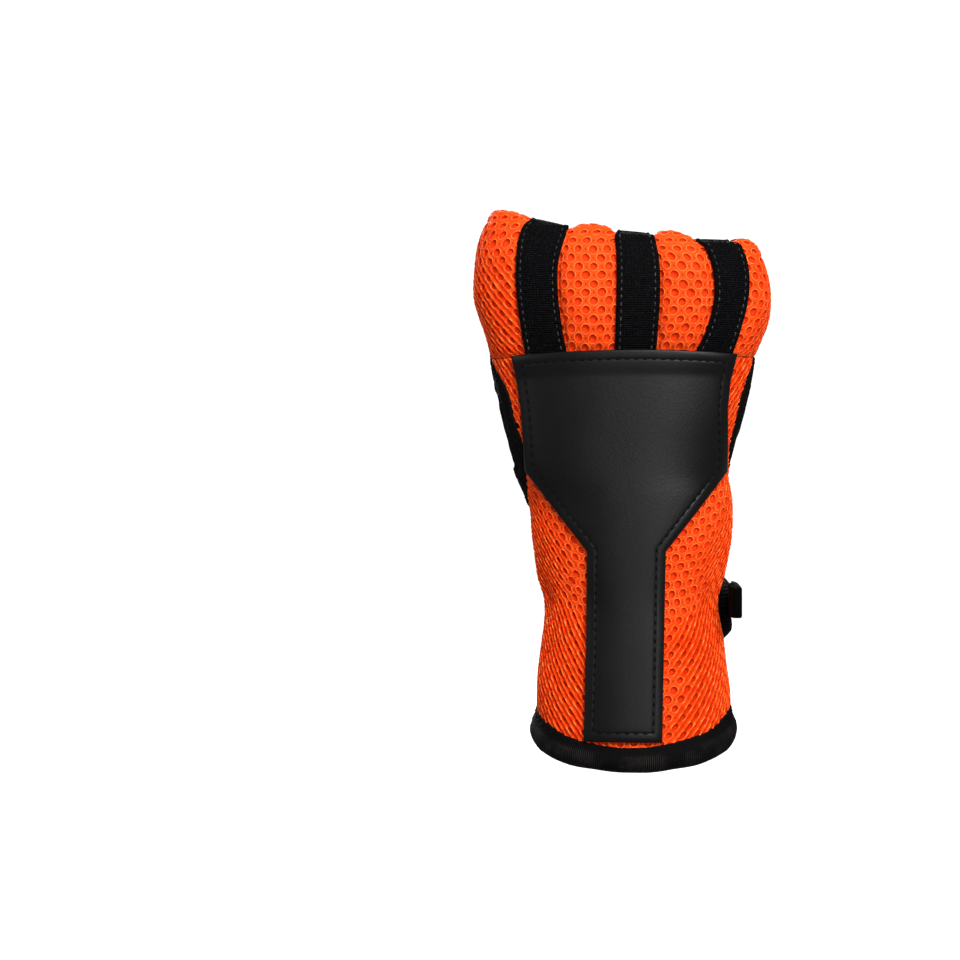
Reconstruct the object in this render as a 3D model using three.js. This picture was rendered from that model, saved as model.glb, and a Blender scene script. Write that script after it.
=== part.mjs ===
// A boxing inner glove for the right hand: a sleeve of padded spacer mesh with four knuckle lobes,
// three elastic straps that part the fingers, an open palm, and a flap that wraps over the wrist.
// Millimetres. +Z points to the fingers, -Y is the back of the hand and -X the thumb side.
import * as THREE from 'three';

// Cloth thicknesses and gaps
const MESH_WALL = 3;
const GAP = 0.3;
const LEATHERETTE = 1.5;
const ELASTIC = 1.2;
const WEBBING = 1.2;

// Binding: a tape folded over the mesh edge, with a ribbed roll at its free side
const BINDING_WIDTH = 9.5;
const BINDING_PROUD = 0.7;
const BINDING_SEAM = 0.5;
const HEM_PROUD = 2.5;
const EDGING_HEIGHT = 1.5;

// The hem runs up to the underlap's end; both its ends taper flat over this many degrees
const HEM_END = 205;
const HEM_END_GAP = 1;
const HEM_TAPER = 26;
const HEM_STEPS = 40;

// The flap lies this far outside the sleeve, so that it clears the underlap and its binding
const FLAP_LIFT = 4.8;
const FLAP_LIFT_START = -90;
const FLAP_LIFT_END = -148;

// Knuckle padding: how far it swells along its height, and how deep it is round the hand
const PAD_BOTTOM = 150;
const LOBE_RISE = 4;
const LOBE_SCALLOP = 1.4;

// Inner surface of the sleeve, a row for each height: half depths to the back and to the palm,
// and squareness, the exponent of the section's superellipse
const SECTIONS = [
  { z: 0, left: -32.2, right: 31.4, back: 22.5, palm: 22.5, square: 2.3 },
  { z: 16, left: -32.3, right: 31.4, back: 22, palm: 22, square: 2.3 },
  { z: 31, left: -32.4, right: 30.8, back: 21, palm: 21.5, square: 2.3 },
  { z: 47, left: -30.6, right: 28.8, back: 20, palm: 20.5, square: 2.3 },
  { z: 62, left: -29.2, right: 26.4, back: 19, palm: 19.5, square: 2.3 },
  { z: 72, left: -32.2, right: 29, back: 19, palm: 20, square: 2.3 },
  { z: 84, left: -33.7, right: 31.3, back: 19, palm: 20.5, square: 2.4 },
  { z: 98, left: -35.5, right: 32, back: 18.5, palm: 20.5, square: 2.4 },
  { z: 108, left: -39.8, right: 30.6, back: 18, palm: 20, square: 2.5 },
  { z: 118, left: -42.8, right: 32.3, back: 17.7, palm: 19, square: 2.5 },
  { z: 129, left: -45, right: 35.5, back: 17.5, palm: 17.5, square: 2.5 },
  { z: 143, left: -47.3, right: 38.6, back: 17, palm: 15.5, square: 2.5 },
  { z: 151, left: -48.4, right: 39.7, back: 16.5, palm: 14, square: 2.5 },
  { z: 161, left: -48.4, right: 40.6, back: 16, palm: 12.8, square: 2.5 },
  { z: 172, left: -48.4, right: 41.3, back: 15, palm: 11.5, square: 2.5 },
  { z: 184, left: -48.4, right: 41.4, back: 14, palm: 10.5, square: 2.5 },
  { z: 202, left: -48.4, right: 41.4, back: 12.5, palm: 9.5, square: 2.5 },
];

// Angles run round the hand: 0 is the middle of the back, 90 the little finger side,
// 180 or -180 the middle of the palm and -90 the thumb side
const HEM_LINE = [
  { angle: -147, top: 19.4, bottom: 10.6 },
  { angle: -126, top: 21, bottom: 12.2 },
  { angle: -105, top: 22.6, bottom: 12 },
  { angle: -84, top: 22.8, bottom: 9.6 },
  { angle: -66, top: 19.6, bottom: 7.4 },
  { angle: -45, top: 15, bottom: 4.8 },
  { angle: -22, top: 12, bottom: 3 },
  { angle: 0, top: 11, bottom: 2.4 },
  { angle: 22, top: 12.6, bottom: 3.2 },
  { angle: 45, top: 16, bottom: 5.4 },
  { angle: 66, top: 20.8, bottom: 8.2 },
  { angle: 86, top: 24.4, bottom: 11 },
  { angle: 106, top: 21, bottom: 9.6 },
  { angle: 130, top: 14.4, bottom: 4.8 },
  { angle: 150, top: 12.4, bottom: 3 },
  { angle: 168, top: 13.4, bottom: 4.4 },
  { angle: 186, top: 16, bottom: 7 },
  { angle: 206, top: 18.6, bottom: 9.8 },
];

// Free edges of the mesh at the thumb side and at the little finger side of the back
const THUMB_EDGE = [
  { z: 98, angle: -90 },
  { z: 102, angle: -73 },
  { z: 108, angle: -58 },
  { z: 117, angle: -54 },
  { z: 131, angle: -58 },
  { z: 140, angle: -66 },
  { z: 150, angle: -90 },
];
const LITTLE_EDGE = [
  { z: 104, angle: 90 },
  { z: 110, angle: 77 },
  { z: 118, angle: 68 },
  { z: 130, angle: 64 },
  { z: 142, angle: 68 },
  { z: 150, angle: 90 },
];

// The four wings that the sleeve has past its sides: lower and upper edge at each angle.
// A low edge of null follows the hem.
const FLAP = [
  { angle: -90, low: null, high: 98 },
  { angle: -110, low: null, high: 96.3 },
  { angle: -126, low: null, high: 94.3 },
  { angle: -139, low: null, high: 91.6 },
  { angle: -147, low: null, high: 90 },
  { angle: -156, low: 24, high: 88 },
  { angle: -167, low: 28.5, high: 85 },
  { angle: -183, low: 35, high: 80.2 },
  { angle: -200, low: 42, high: 74.4 },
  { angle: -217, low: 48, high: 69 },
  { angle: -232, low: 52.5, high: 65 },
  { angle: -247, low: 57, high: 62 },
];
const UNDERLAP = [
  { angle: 90, low: null, high: 104 },
  { angle: 100, low: null, high: 100.8 },
  { angle: 115, low: null, high: 97.2 },
  { angle: 132, low: null, high: 92.3 },
  { angle: 150, low: null, high: 87.6 },
  { angle: 168, low: null, high: 82 },
  { angle: 182, low: null, high: 76 },
  { angle: 196, low: null, high: 66 },
];
const INDEX_WRAP = [
  { angle: -90, low: 150, high: 199 },
  { angle: -105, low: 155, high: 194.5 },
  { angle: -120, low: 160.5, high: 189.5 },
  { angle: -135, low: 166, high: 186 },
  { angle: -149, low: 170, high: 184 },
];
const LITTLE_WRAP = [
  { angle: 90, low: 150, high: 181.5 },
  { angle: 102, low: 149.6, high: 177.5 },
  { angle: 115, low: 152, high: 176.5 },
  { angle: 130, low: 158, high: 177.2 },
  { angle: 141, low: 163, high: 177.7 },
];

// Column of the flap's lower edge at which the hem turns up into the flap's lower binding
const FLAP_CORNER_COLUMN = 5;

// Share of its first step at which the flap's binding starts, clear of the palm opening's binding
const FLAP_BINDING_START = 0.08;

// Upper edge of the palm band where it crosses the bare palm, from the little finger to the index
const PALM_SPAN = [
  { angle: 146, z: 165 },
  { angle: 160, z: 168.8 },
  { angle: 176, z: 171.6 },
  { angle: 192, z: 173 },
  { angle: 206, z: 171.4 },
];

// Top edge of the knuckle pad between the two wraps
const PAD_TOP = [
  { angle: -90, z: 199 },
  { angle: -76, z: 200.6 },
  { angle: -55, z: 200 },
  { angle: -40, z: 198 },
  { angle: -28, z: 196 },
  { angle: -11, z: 195.8 },
  { angle: 6, z: 194 },
  { angle: 18, z: 193.4 },
  { angle: 37, z: 191 },
  { angle: 52, z: 190.6 },
  { angle: 66, z: 189.5 },
  { angle: 80, z: 186 },
  { angle: 90, z: 181.5 },
];

// Padding profile along its height (0 at its bottom, 1 at its top edge) and depth round the hand
const PAD_SWELL = [
  { at: -0.16, swell: 0 },
  { at: 0, swell: 0.16 },
  { at: 0.1, swell: 0.42 },
  { at: 0.22, swell: 0.68 },
  { at: 0.4, swell: 0.93 },
  { at: 0.56, swell: 1 },
  { at: 0.68, swell: 0.97 },
  { at: 0.82, swell: 0.77 },
  { at: 0.93, swell: 0.5 },
  { at: 1, swell: 0.24 },
];
const PAD_DEPTH = [
  { angle: -150, depth: 0 },
  { angle: -120, depth: 1.4 },
  { angle: -90, depth: 2.9 },
  { angle: -60, depth: 5.6 },
  { angle: -30, depth: 7 },
  { angle: 0, depth: 7.4 },
  { angle: 30, depth: 6.4 },
  { angle: 60, depth: 3.6 },
  { angle: 90, depth: 0.6 },
  { angle: 150, depth: 0 },
];

// Side edges of the three elastic straps on the back, seen from the back
const STRAP_EDGES = [
  { z: 150, left_1: -38.8, right_1: -23, left_2: -7.8, right_2: 7.8, left_3: 19.6, right_3: 33.8 },
  { z: 160, left_1: -40.4, right_1: -24.9, left_2: -7.3, right_2: 8.7, left_3: 24.3, right_3: 37 },
  { z: 172, left_1: -41.9, right_1: -26.3, left_2: -7, right_2: 9.4, left_3: 26.7, right_3: 39.6 },
  { z: 184, left_1: -42.1, right_1: -26, left_2: -7, right_2: 9, left_3: 25.2, right_3: 39 },
  { z: 196, left_1: -38.9, right_1: -22.8, left_2: -7.9, right_2: 6.8, left_3: 19.5, right_3: 34.5 },
];
const STRAP_SIDES = ['left_1', 'right_1', 'left_2', 'right_2', 'left_3', 'right_3'];

// Where each strap lands on the palm band, and how narrow it is between the fingers
const STRAPS = [
  { name: 'strap_index_middle', left: 'left_1', right: 'right_1', web_x: -28, palm_angle: -155, web_width: 6 },
  { name: 'strap_middle_ring', left: 'left_2', right: 'right_2', web_x: -2.4, palm_angle: -181, web_width: 6 },
  { name: 'strap_ring_little', left: 'left_3', right: 'right_3', web_x: 22.5, palm_angle: 149, web_width: 6.5 },
];

// Outline of the leatherette patch on the back: a shield with a long stem
const BACK_PATCH = [
  { z: 13.4, left: -18.3, right: 9.5 },
  { z: 48.9, left: -17.4, right: 10.2 },
  { z: 80.5, left: -17.1, right: 10.8 },
  { z: 109, left: -39.6, right: 33.2 },
  { z: 118, left: -40.1, right: 33.3 },
  { z: 132, left: -41.1, right: 33.1 },
  { z: 140, left: -42.3, right: 33.9 },
  { z: 150.4, left: -44.4, right: 36.4 },
];
const BACK_PATCH_ROWS = [13.4, 24, 36, 48.9, 60, 70, 80.5, 87, 94, 101, 109, 118, 125, 132, 140, 150.4];
const BACK_PATCH_COLUMNS = 12;

// Rectangular patch on the flap: its middle line climbs toward the little finger side
const FLAP_PATCH = { start: -132, end: -219, z_start: 50.5, z_end: 58, height: 19 };
const FLAP_PATCH_COLUMNS = 14;
const FLAP_PATCH_ROWS = 4;

// Pull tab: a folded webbing loop, seen from above, on the flap's end
const TAB_LINE = [
  { x: 36.5, y: 6.6 },
  { x: 37.7, y: 1 },
  { x: 38.1, y: -8 },
  { x: 38.3, y: -16.5 },
  { x: 38, y: -19.6 },
  { x: 36.9, y: -20.6 },
  { x: 35.8, y: -19.4 },
  { x: 35.5, y: -15 },
  { x: 35.4, y: -7 },
  { x: 35.3, y: 0 },
];
const TAB_MIDDLE = 61.8;
const TAB_BASE_HEIGHT = 16;
const TAB_END_HEIGHT = 12.4;

const degrees = (angle) => (angle * Math.PI) / 180;
const mix = (a, b, share) => a + (b - a) * share;
const clamp = (value, low, high) => Math.min(Math.max(value, low), high);
const smooth = (share) => share * share * (3 - 2 * share);

// Reads a column of a table at any value of its key column, on a smooth curve through the rows
function lookup(table, key, column, at) {
  const last = table.length - 1;
  const rising = table[last][key] > table[0][key] ? 1 : -1;
  let row = 0;
  while (row < last - 1 && (at - table[row + 1][key]) * rising > 0) {
    row += 1;
  }
  const slope = (i) => {
    const before = Math.max(i - 1, 0);
    const after = Math.min(i + 1, last);
    return (table[after][column] - table[before][column]) / (table[after][key] - table[before][key]);
  };
  const [from, to] = [table[row], table[row + 1]];
  const span = to[key] - from[key];
  const t = clamp((at - from[key]) / span, 0, 1);
  const [t2, t3] = [t * t, t * t * t];
  return (
    (2 * t3 - 3 * t2 + 1) * from[column] +
    (t3 - 2 * t2 + t) * span * slope(row) +
    (3 * t2 - 2 * t3) * to[column] +
    (t3 - t2) * span * slope(row + 1)
  );
}

// Reads a column on straight lines between the rows, for outlines with corners
function lookupStraight(table, key, column, at) {
  let row = 0;
  while (row < table.length - 2 && at > table[row + 1][key]) {
    row += 1;
  }
  const share = clamp((at - table[row][key]) / (table[row + 1][key] - table[row][key]), 0, 1);
  return mix(table[row][column], table[row + 1][column], share);
}

// Folds any angle into -180 to 180
const folded = (angle) => THREE.MathUtils.euclideanModulo(angle + 180, 360) - 180;

// Point at a height above the sleeve's inner surface: two half superellipses, one to the back
// and one to the palm, and the normal of that section
function lay(angle, z, height) {
  const left = lookup(SECTIONS, 'z', 'left', z);
  const right = lookup(SECTIONS, 'z', 'right', z);
  const square = lookup(SECTIONS, 'z', 'square', z);
  const around = degrees(angle);
  const side = Math.sin(around);
  const front = -Math.cos(around);
  const depth = lookup(SECTIONS, 'z', front < 0 ? 'back' : 'palm', z);
  const half = (right - left) / 2;
  const reach = (Math.abs(side) ** square + Math.abs(front) ** square) ** (-1 / square);
  const normalX = (Math.sign(side) * Math.abs(side * reach) ** (square - 1)) / half;
  const normalY = (Math.sign(front) * Math.abs(front * reach) ** (square - 1)) / depth;
  const length = Math.hypot(normalX, normalY);
  return new THREE.Vector3(
    (left + right) / 2 + half * side * reach + (height * normalX) / length,
    depth * front * reach + (height * normalY) / length,
    z,
  );
}

const hemTop = (angle) => lookup(HEM_LINE, 'angle', 'top', angle);

const noLift = () => 0;

const flapLift = (angle) =>
  FLAP_LIFT * smooth(clamp((FLAP_LIFT_START - angle) / (FLAP_LIFT_START - FLAP_LIFT_END), 0, 1));

// Pad top without its scallops, also over the two wraps
function padTopLine(angle) {
  if (angle < -90) {
    return lookup(INDEX_WRAP, 'angle', 'high', angle);
  }
  if (angle > 90) {
    return lookup(LITTLE_WRAP, 'angle', 'high', angle);
  }
  return lookup(PAD_TOP, 'angle', 'z', angle);
}

// Wall thickness in the strap grooves: mesh and padding, without the lobes
function grooveWall(angle, z) {
  const at = (z - PAD_BOTTOM) / (padTopLine(angle) - PAD_BOTTOM);
  const swell = lookup(PAD_SWELL, 'at', 'swell', at);
  return MESH_WALL + swell * lookup(PAD_DEPTH, 'angle', 'depth', clamp(angle, -150, 150));
}

// Angle at which the groove surface has a given x at a given height, on the back of the hand
function angleAt(x, z, extra) {
  let [low, high] = [-90, 90];
  for (let step = 0; step < 24; step += 1) {
    const middle = (low + high) / 2;
    if (lay(middle, z, grooveWall(middle, z) + extra).x < x) {
      low = middle;
    } else {
      high = middle;
    }
  }
  return (low + high) / 2;
}

// The six strap edges as angles at a height; below the pad they run on at their lowest place
function strapAngles(z) {
  const level = Math.max(z, PAD_BOTTOM);
  return STRAP_SIDES.map((side) => angleAt(lookup(STRAP_EDGES, 'z', side, level), level, 0));
}

// Lobe shape across the pad: 0 on the straps, 1 in the middle of each lobe
function lobe(angle, edges) {
  const lobes = [
    [-140, edges[0]],
    [edges[1], edges[2]],
    [edges[3], edges[4]],
    [edges[5], 132],
  ];
  for (const [from, to] of lobes) {
    if (angle > from && angle < to) {
      const off = (2 * angle - from - to) / (to - from);
      return (1 - off * off) ** 0.55;
    }
  }
  return 0;
}

function wall(angle, z, edges) {
  const at = clamp((z - PAD_BOTTOM) / (padTopLine(angle) - PAD_BOTTOM), 0, 1);
  const rise = LOBE_RISE * Math.sin(Math.PI * Math.min(at, 0.97)) ** 0.5;
  return grooveWall(angle, z) + rise * lobe(angle, edges);
}

// Closed solid with its faces turned outward, whatever way its quads were listed
function solid(points, triangles) {
  let volume = 0;
  for (const [a, b, c] of triangles) {
    volume += points[a].dot(new THREE.Vector3().crossVectors(points[b], points[c]));
  }
  const outward = volume > 0 ? triangles : triangles.map(([a, b, c]) => [a, c, b]);
  const geometry = new THREE.BufferGeometry().setFromPoints(points);
  geometry.setIndex(outward.flat());
  geometry.computeVertexNormals();
  return geometry;
}

const splitQuad = ([a, b, c, d]) => [
  [a, b, c],
  [a, c, d],
];

// Wall from a flat net of places: an outer copy, an inner copy and a rim along every free edge
function sheetSolid(net, outerPoint, innerPoint) {
  const count = net.places.length;
  const points = [...net.places.map(outerPoint), ...net.places.map(innerPoint)];
  const quads = [];
  const uses = new Map();
  for (const quad of net.quads) {
    quads.push(quad);
    quads.push(quad.map((index) => index + count).reverse());
    quad.forEach((from, i) => {
      const to = quad[(i + 1) % 4];
      uses.set(`${from} ${to}`, [from, to]);
    });
  }
  for (const [from, to] of uses.values()) {
    if (!uses.has(`${to} ${from}`)) {
      quads.push([to, from, from + count, to + count]);
    }
  }
  return solid(points, quads.flatMap(splitQuad));
}

// Adds a grid of places to a net. Its first column may be places that the net already has.
function addGrid(net, rows, columns, place, root = null, mirrored = false) {
  const indices = [];
  for (let row = 0; row < rows; row += 1) {
    indices.push([]);
    for (let column = 0; column < columns; column += 1) {
      if (column === 0 && root) {
        indices[row].push(root[row]);
      } else {
        indices[row].push(net.places.length);
        net.places.push(place(row, column));
      }
    }
  }
  for (let row = 0; row < rows - 1; row += 1) {
    for (let column = 0; column < columns - 1; column += 1) {
      const quad = [
        indices[row][column],
        indices[row][column + 1],
        indices[row + 1][column + 1],
        indices[row + 1][column],
      ];
      net.quads.push(mirrored ? quad.reverse() : quad);
    }
  }
  return indices;
}

// Solid from rings of points with flat ends, each ring a convex section
function ringSolid(rings) {
  const size = rings[0].length;
  const triangles = [];
  for (let ring = 0; ring < rings.length - 1; ring += 1) {
    for (let i = 0; i < size; i += 1) {
      const next = (i + 1) % size;
      const base = ring * size;
      triangles.push(...splitQuad([base + i, base + next, base + size + next, base + size + i]));
    }
  }
  const end = (rings.length - 1) * size;
  for (let i = 1; i < size - 1; i += 1) {
    triangles.push([0, i + 1, i]);
    triangles.push([end, end + i, end + i + 1]);
  }
  return solid(rings.flat(), triangles);
}

// Wing of the sleeve: columns at even angles, rows at the height shares of the root column
function addWing(net, table, root, columnStep, lift, layer) {
  const first = table[0];
  const last = table[table.length - 1];
  const columns = 1 + Math.round(Math.abs(last.angle - first.angle) / columnStep);
  const low = (angle) => (layer === 'cuff' ? wingLow(table, angle) : lookup(table, 'angle', 'low', angle));
  const rootLow = net.places[root[0]].z;
  const rootHigh = net.places[root[root.length - 1]].z;
  const shares = root.map((index) => (net.places[index].z - rootLow) / (rootHigh - rootLow));
  const place = (row, column) => {
    const angle = mix(first.angle, last.angle, column / (columns - 1));
    const z = mix(low(angle), lookup(table, 'angle', 'high', angle), shares[row]);
    return { angle, z, lift: lift(angle) };
  };
  return addGrid(net, root.length, columns, place, root, last.angle < first.angle);
}

// Places along a row or down a column of a grid
const alongRow = (net, row) => row.map((index) => net.places[index]);
const alongColumn = (net, grid, column) => grid.map((row) => net.places[row.at(column)]);

// Low edge of a cuff wing: on the hem, and from the first row with a height of its own on that
function wingLow(table, angle) {
  const free = table.filter((row) => row.low !== null);
  const hemmed = table.filter((row) => row.low === null);
  const seam = hemmed[hemmed.length - 1];
  if (free.length === 0 || Math.abs(angle) <= Math.abs(seam.angle)) {
    return hemTop(angle);
  }
  return lookup([{ angle: seam.angle, low: hemTop(seam.angle) }, ...free], 'angle', 'low', angle);
}

// Heights of the sleeve's rows. Below the palm opening they start on the hem, and in the pad
// they follow its scalloped top.
const CUFF_LEVELS = [0, 0.2, 0.4, 0.6, 0.8, 1];
const CUFF_TOP = 60;
const BODY_LEVELS = [67, 74, 82, 90, 98, 104, 110, 117, 124, 131, 138, 144, PAD_BOTTOM - GAP];
const THUMB_ROOT_ROWS = 11;
const LITTLE_ROOT_ROWS = 12;
const PAD_LEVELS = [0, 0.06, 0.14, 0.24, 0.36, 0.5, 0.63, 0.75, 0.85, 0.93, 0.975, 1];

// Columns of the sleeve: shares of the way between its free edges and the six strap edges
const COLUMN_COUNTS = [7, 2, 6, 2, 6, 2, 6];

function bodyColumns(z) {
  const left = z <= THUMB_EDGE[0].z ? THUMB_EDGE[0].angle : lookup(THUMB_EDGE, 'z', 'angle', z);
  const right = z <= LITTLE_EDGE[0].z ? LITTLE_EDGE[0].angle : lookup(LITTLE_EDGE, 'z', 'angle', z);
  return spreadColumns([left, ...evenStops(left, right), right]);
}

// Under the pad the straps are not there, so the stops are at even shares
const evenStops = (left, right) => [0.24, 0.37, 0.47, 0.57, 0.68, 0.79].map((share) => mix(left, right, share));

function spreadColumns(stops) {
  const angles = [];
  COLUMN_COUNTS.forEach((count, i) => {
    for (let step = 0; step < count; step += 1) {
      angles.push(mix(stops[i], stops[i + 1], step / count));
    }
  });
  angles.push(stops[stops.length - 1]);
  return angles;
}

function sleeveNet() {
  const net = { places: [], quads: [] };
  const levels = [...CUFF_LEVELS, ...BODY_LEVELS];
  const place = (row, column) => {
    if (row < CUFF_LEVELS.length) {
      const angle = bodyColumns(CUFF_TOP)[column];
      return { angle, z: mix(hemTop(angle), CUFF_TOP, CUFF_LEVELS[row]), lift: 0 };
    }
    return { angle: bodyColumns(levels[row])[column], z: levels[row], lift: 0 };
  };
  const columns = 1 + COLUMN_COUNTS.reduce((sum, count) => sum + count, 0);
  const grid = addGrid(net, levels.length, columns, place);
  const leftRoot = grid.slice(0, THUMB_ROOT_ROWS).map((row) => row[0]);
  const rightRoot = grid.slice(0, LITTLE_ROOT_ROWS).map((row) => row[columns - 1]);
  const flap = addWing(net, FLAP, leftRoot, 11, flapLift, 'cuff');
  const underlap = addWing(net, UNDERLAP, rightRoot, 12, noLift, 'cuff');
  return { net, grid, flap, underlap };
}

const meshBody = ({ net }) =>
  sheetSolid(
    net,
    ({ angle, z, lift }) => lay(angle, z, lift + grooveWall(clamp(angle, -90, 90), z)),
    ({ angle, z, lift }) => lay(angle, z, lift),
  );

function padNet() {
  const net = { places: [], quads: [] };
  const place = (row, column) => {
    const share = PAD_LEVELS[row];
    let z = mix(PAD_BOTTOM, 195, share);
    let angle = 0;
    for (let pass = 0; pass < 4; pass += 1) {
      const edges = strapAngles(z);
      angle = spreadColumns([-90, ...edges, 90])[column];
      z = mix(PAD_BOTTOM, padTopLine(angle) + LOBE_SCALLOP * lobe(angle, edges), share);
    }
    return { angle, z, lift: 0 };
  };
  const columns = 1 + COLUMN_COUNTS.reduce((sum, count) => sum + count, 0);
  const grid = addGrid(net, PAD_LEVELS.length, columns, place);
  const indexWrap = addWing(net, INDEX_WRAP, grid.map((row) => row[0]), 10, noLift, 'pad');
  const littleWrap = addWing(net, LITTLE_WRAP, grid.map((row) => row[columns - 1]), 10, noLift, 'pad');
  return { net, grid, indexWrap, littleWrap };
}

const knucklePad = ({ net }) =>
  sheetSolid(
    net,
    ({ angle, z }) => lay(angle, z, wall(angle, z, strapAngles(z))),
    ({ angle, z }) => lay(angle, z, 0),
  );

// Binding along a mesh edge: at each place a flat oval section that starts a seam's gap beyond the edge.
// side is 1 when the free side lies to the left of the run, seen from outside, else -1.
function bindingRings(run, side, lift) {
  return run.map((place, i) => {
    const before = run[Math.max(i - 1, 0)];
    const after = run[Math.min(i + 1, run.length - 1)];
    const perDegree = lay(place.angle - 1, place.z, MESH_WALL).distanceTo(lay(place.angle + 1, place.z, MESH_WALL)) / 2;
    const along = new THREE.Vector2((after.angle - before.angle) * perDegree, after.z - before.z).normalize();
    const outward = new THREE.Vector2(-along.y, along.x).multiplyScalar(side);
    const half = MESH_WALL / 2 + BINDING_PROUD;
    const ring = [];
    for (let corner = 0; corner < 8; corner += 1) {
      const turn = degrees(45 * corner + 22.5);
      const across = BINDING_SEAM + (BINDING_WIDTH / 2) * (1 + 1.08 * Math.cos(turn));
      const height = MESH_WALL / 2 + half * 1.08 * Math.sin(turn);
      const angle = place.angle + (outward.x * across) / perDegree;
      const z = place.z + outward.y * across;
      const edgeWall = grooveWall(clamp(folded(place.angle), -149, 149), place.z) - MESH_WALL;
      ring.push(lay(angle, z, lift(angle) + height + (lift === noLift ? edgeWall / 2 : 0)));
    }
    return ring;
  });
}

const turned = (place) => ({ ...place, angle: place.angle + 360 });

// The palm opening's edge: hidden end of the underlap, up to the little finger side, across the
// palm under the fingers, and down the thumb side
function palmBinding(sleeve, pad) {
  const run = [
    ...alongColumn(sleeve.net, sleeve.underlap, -1).slice(1),
    ...alongRow(sleeve.net, sleeve.underlap.at(-1)).reverse().slice(1),
    ...alongColumn(sleeve.net, sleeve.grid, -1).slice(LITTLE_ROOT_ROWS),
    ...alongRow(pad.net, pad.littleWrap[0]).slice(1),
    ...PALM_SPAN,
    ...alongRow(pad.net, pad.indexWrap[0]).reverse().slice(0, -1).map(turned),
    ...alongColumn(sleeve.net, sleeve.grid, 0).slice(THUMB_ROOT_ROWS - 1).reverse().map(turned),
  ];
  return ringSolid(bindingRings(run, -1, noLift).slice(0, -1));
}

// The flap's edge: on from the palm opening's binding at the thumb side, along the flap's top,
// round its end and back to the hem
function flapBinding({ net, grid, flap }) {
  const run = [
    ...alongColumn(net, grid, 0).slice(THUMB_ROOT_ROWS, THUMB_ROOT_ROWS + 2).reverse(),
    ...alongRow(net, flap.at(-1)),
    ...alongColumn(net, flap, -1).reverse().slice(1),
    ...alongRow(net, flap[0]).slice(FLAP_CORNER_COLUMN).reverse().slice(1),
  ];
  const rings = bindingRings(run, -1, flapLift).slice(1);
  rings[0] = rings[0].map((point, i) => point.lerp(rings[1][i], FLAP_BINDING_START));
  return ringSolid(rings);
}

// Rolled hem below the mesh, from the flap's corner round the back to the underlap's end
function wristHem({ net, flap }) {
  const rings = [];
  const from = alongRow(net, flap[0])[FLAP_CORNER_COLUMN].angle + HEM_END_GAP;
  for (let i = 0; i <= HEM_STEPS; i += 1) {
    const angle = mix(from, HEM_END, i / HEM_STEPS);
    const fromEnd = Math.min(angle - from, HEM_END - angle);
    const full = smooth(clamp((fromEnd + 2) / HEM_TAPER, 0, 1));
    const half = MESH_WALL / 2 + mix(BINDING_PROUD, HEM_PROUD, full);
    const high = hemTop(angle) - GAP;
    const low = lookup(HEM_LINE, 'angle', 'bottom', angle);
    const ring = [];
    for (let corner = 0; corner < 8; corner += 1) {
      const turn = degrees(45 * corner + 22.5);
      const z = mix(low, high, 0.5 + 0.54 * Math.cos(turn));
      const height = MESH_WALL / 2 + half * 1.08 * Math.sin(turn);
      ring.push(lay(angle, z, flapLift(angle) + height));
    }
    rings.push(ring);
  }
  return ringSolid(rings);
}

// Thin edging on the rim of an outer finger hole
function edging(run) {
  const rings = run.map(({ angle, z: top }) => {
    const thick = wall(angle, top, strapAngles(top));
    return [
      [GAP, 0.2],
      [GAP, thick - 0.2],
      [GAP + EDGING_HEIGHT, thick - 0.8],
      [GAP + EDGING_HEIGHT, 0.8],
    ].map(([rise, height]) => {
      const point = lay(angle, top, height);
      return point.setZ(top + rise);
    });
  });
  return ringSolid(rings);
}

const INDEX_LOBE_COLUMNS = 6;
const indexEdging = ({ net, grid, indexWrap }) =>
  edging([
    ...alongRow(net, grid.at(-1)).slice(0, INDEX_LOBE_COLUMNS + 1).reverse(),
    ...alongRow(net, indexWrap.at(-1)).slice(1),
  ]);

const LITTLE_LOBE_COLUMNS = 5;
const littleEdging = ({ net, grid, littleWrap }) =>
  edging([
    ...alongRow(net, grid.at(-1)).slice(-LITTLE_LOBE_COLUMNS - 1),
    ...alongRow(net, littleWrap.at(-1)).slice(1),
  ]);

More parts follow.
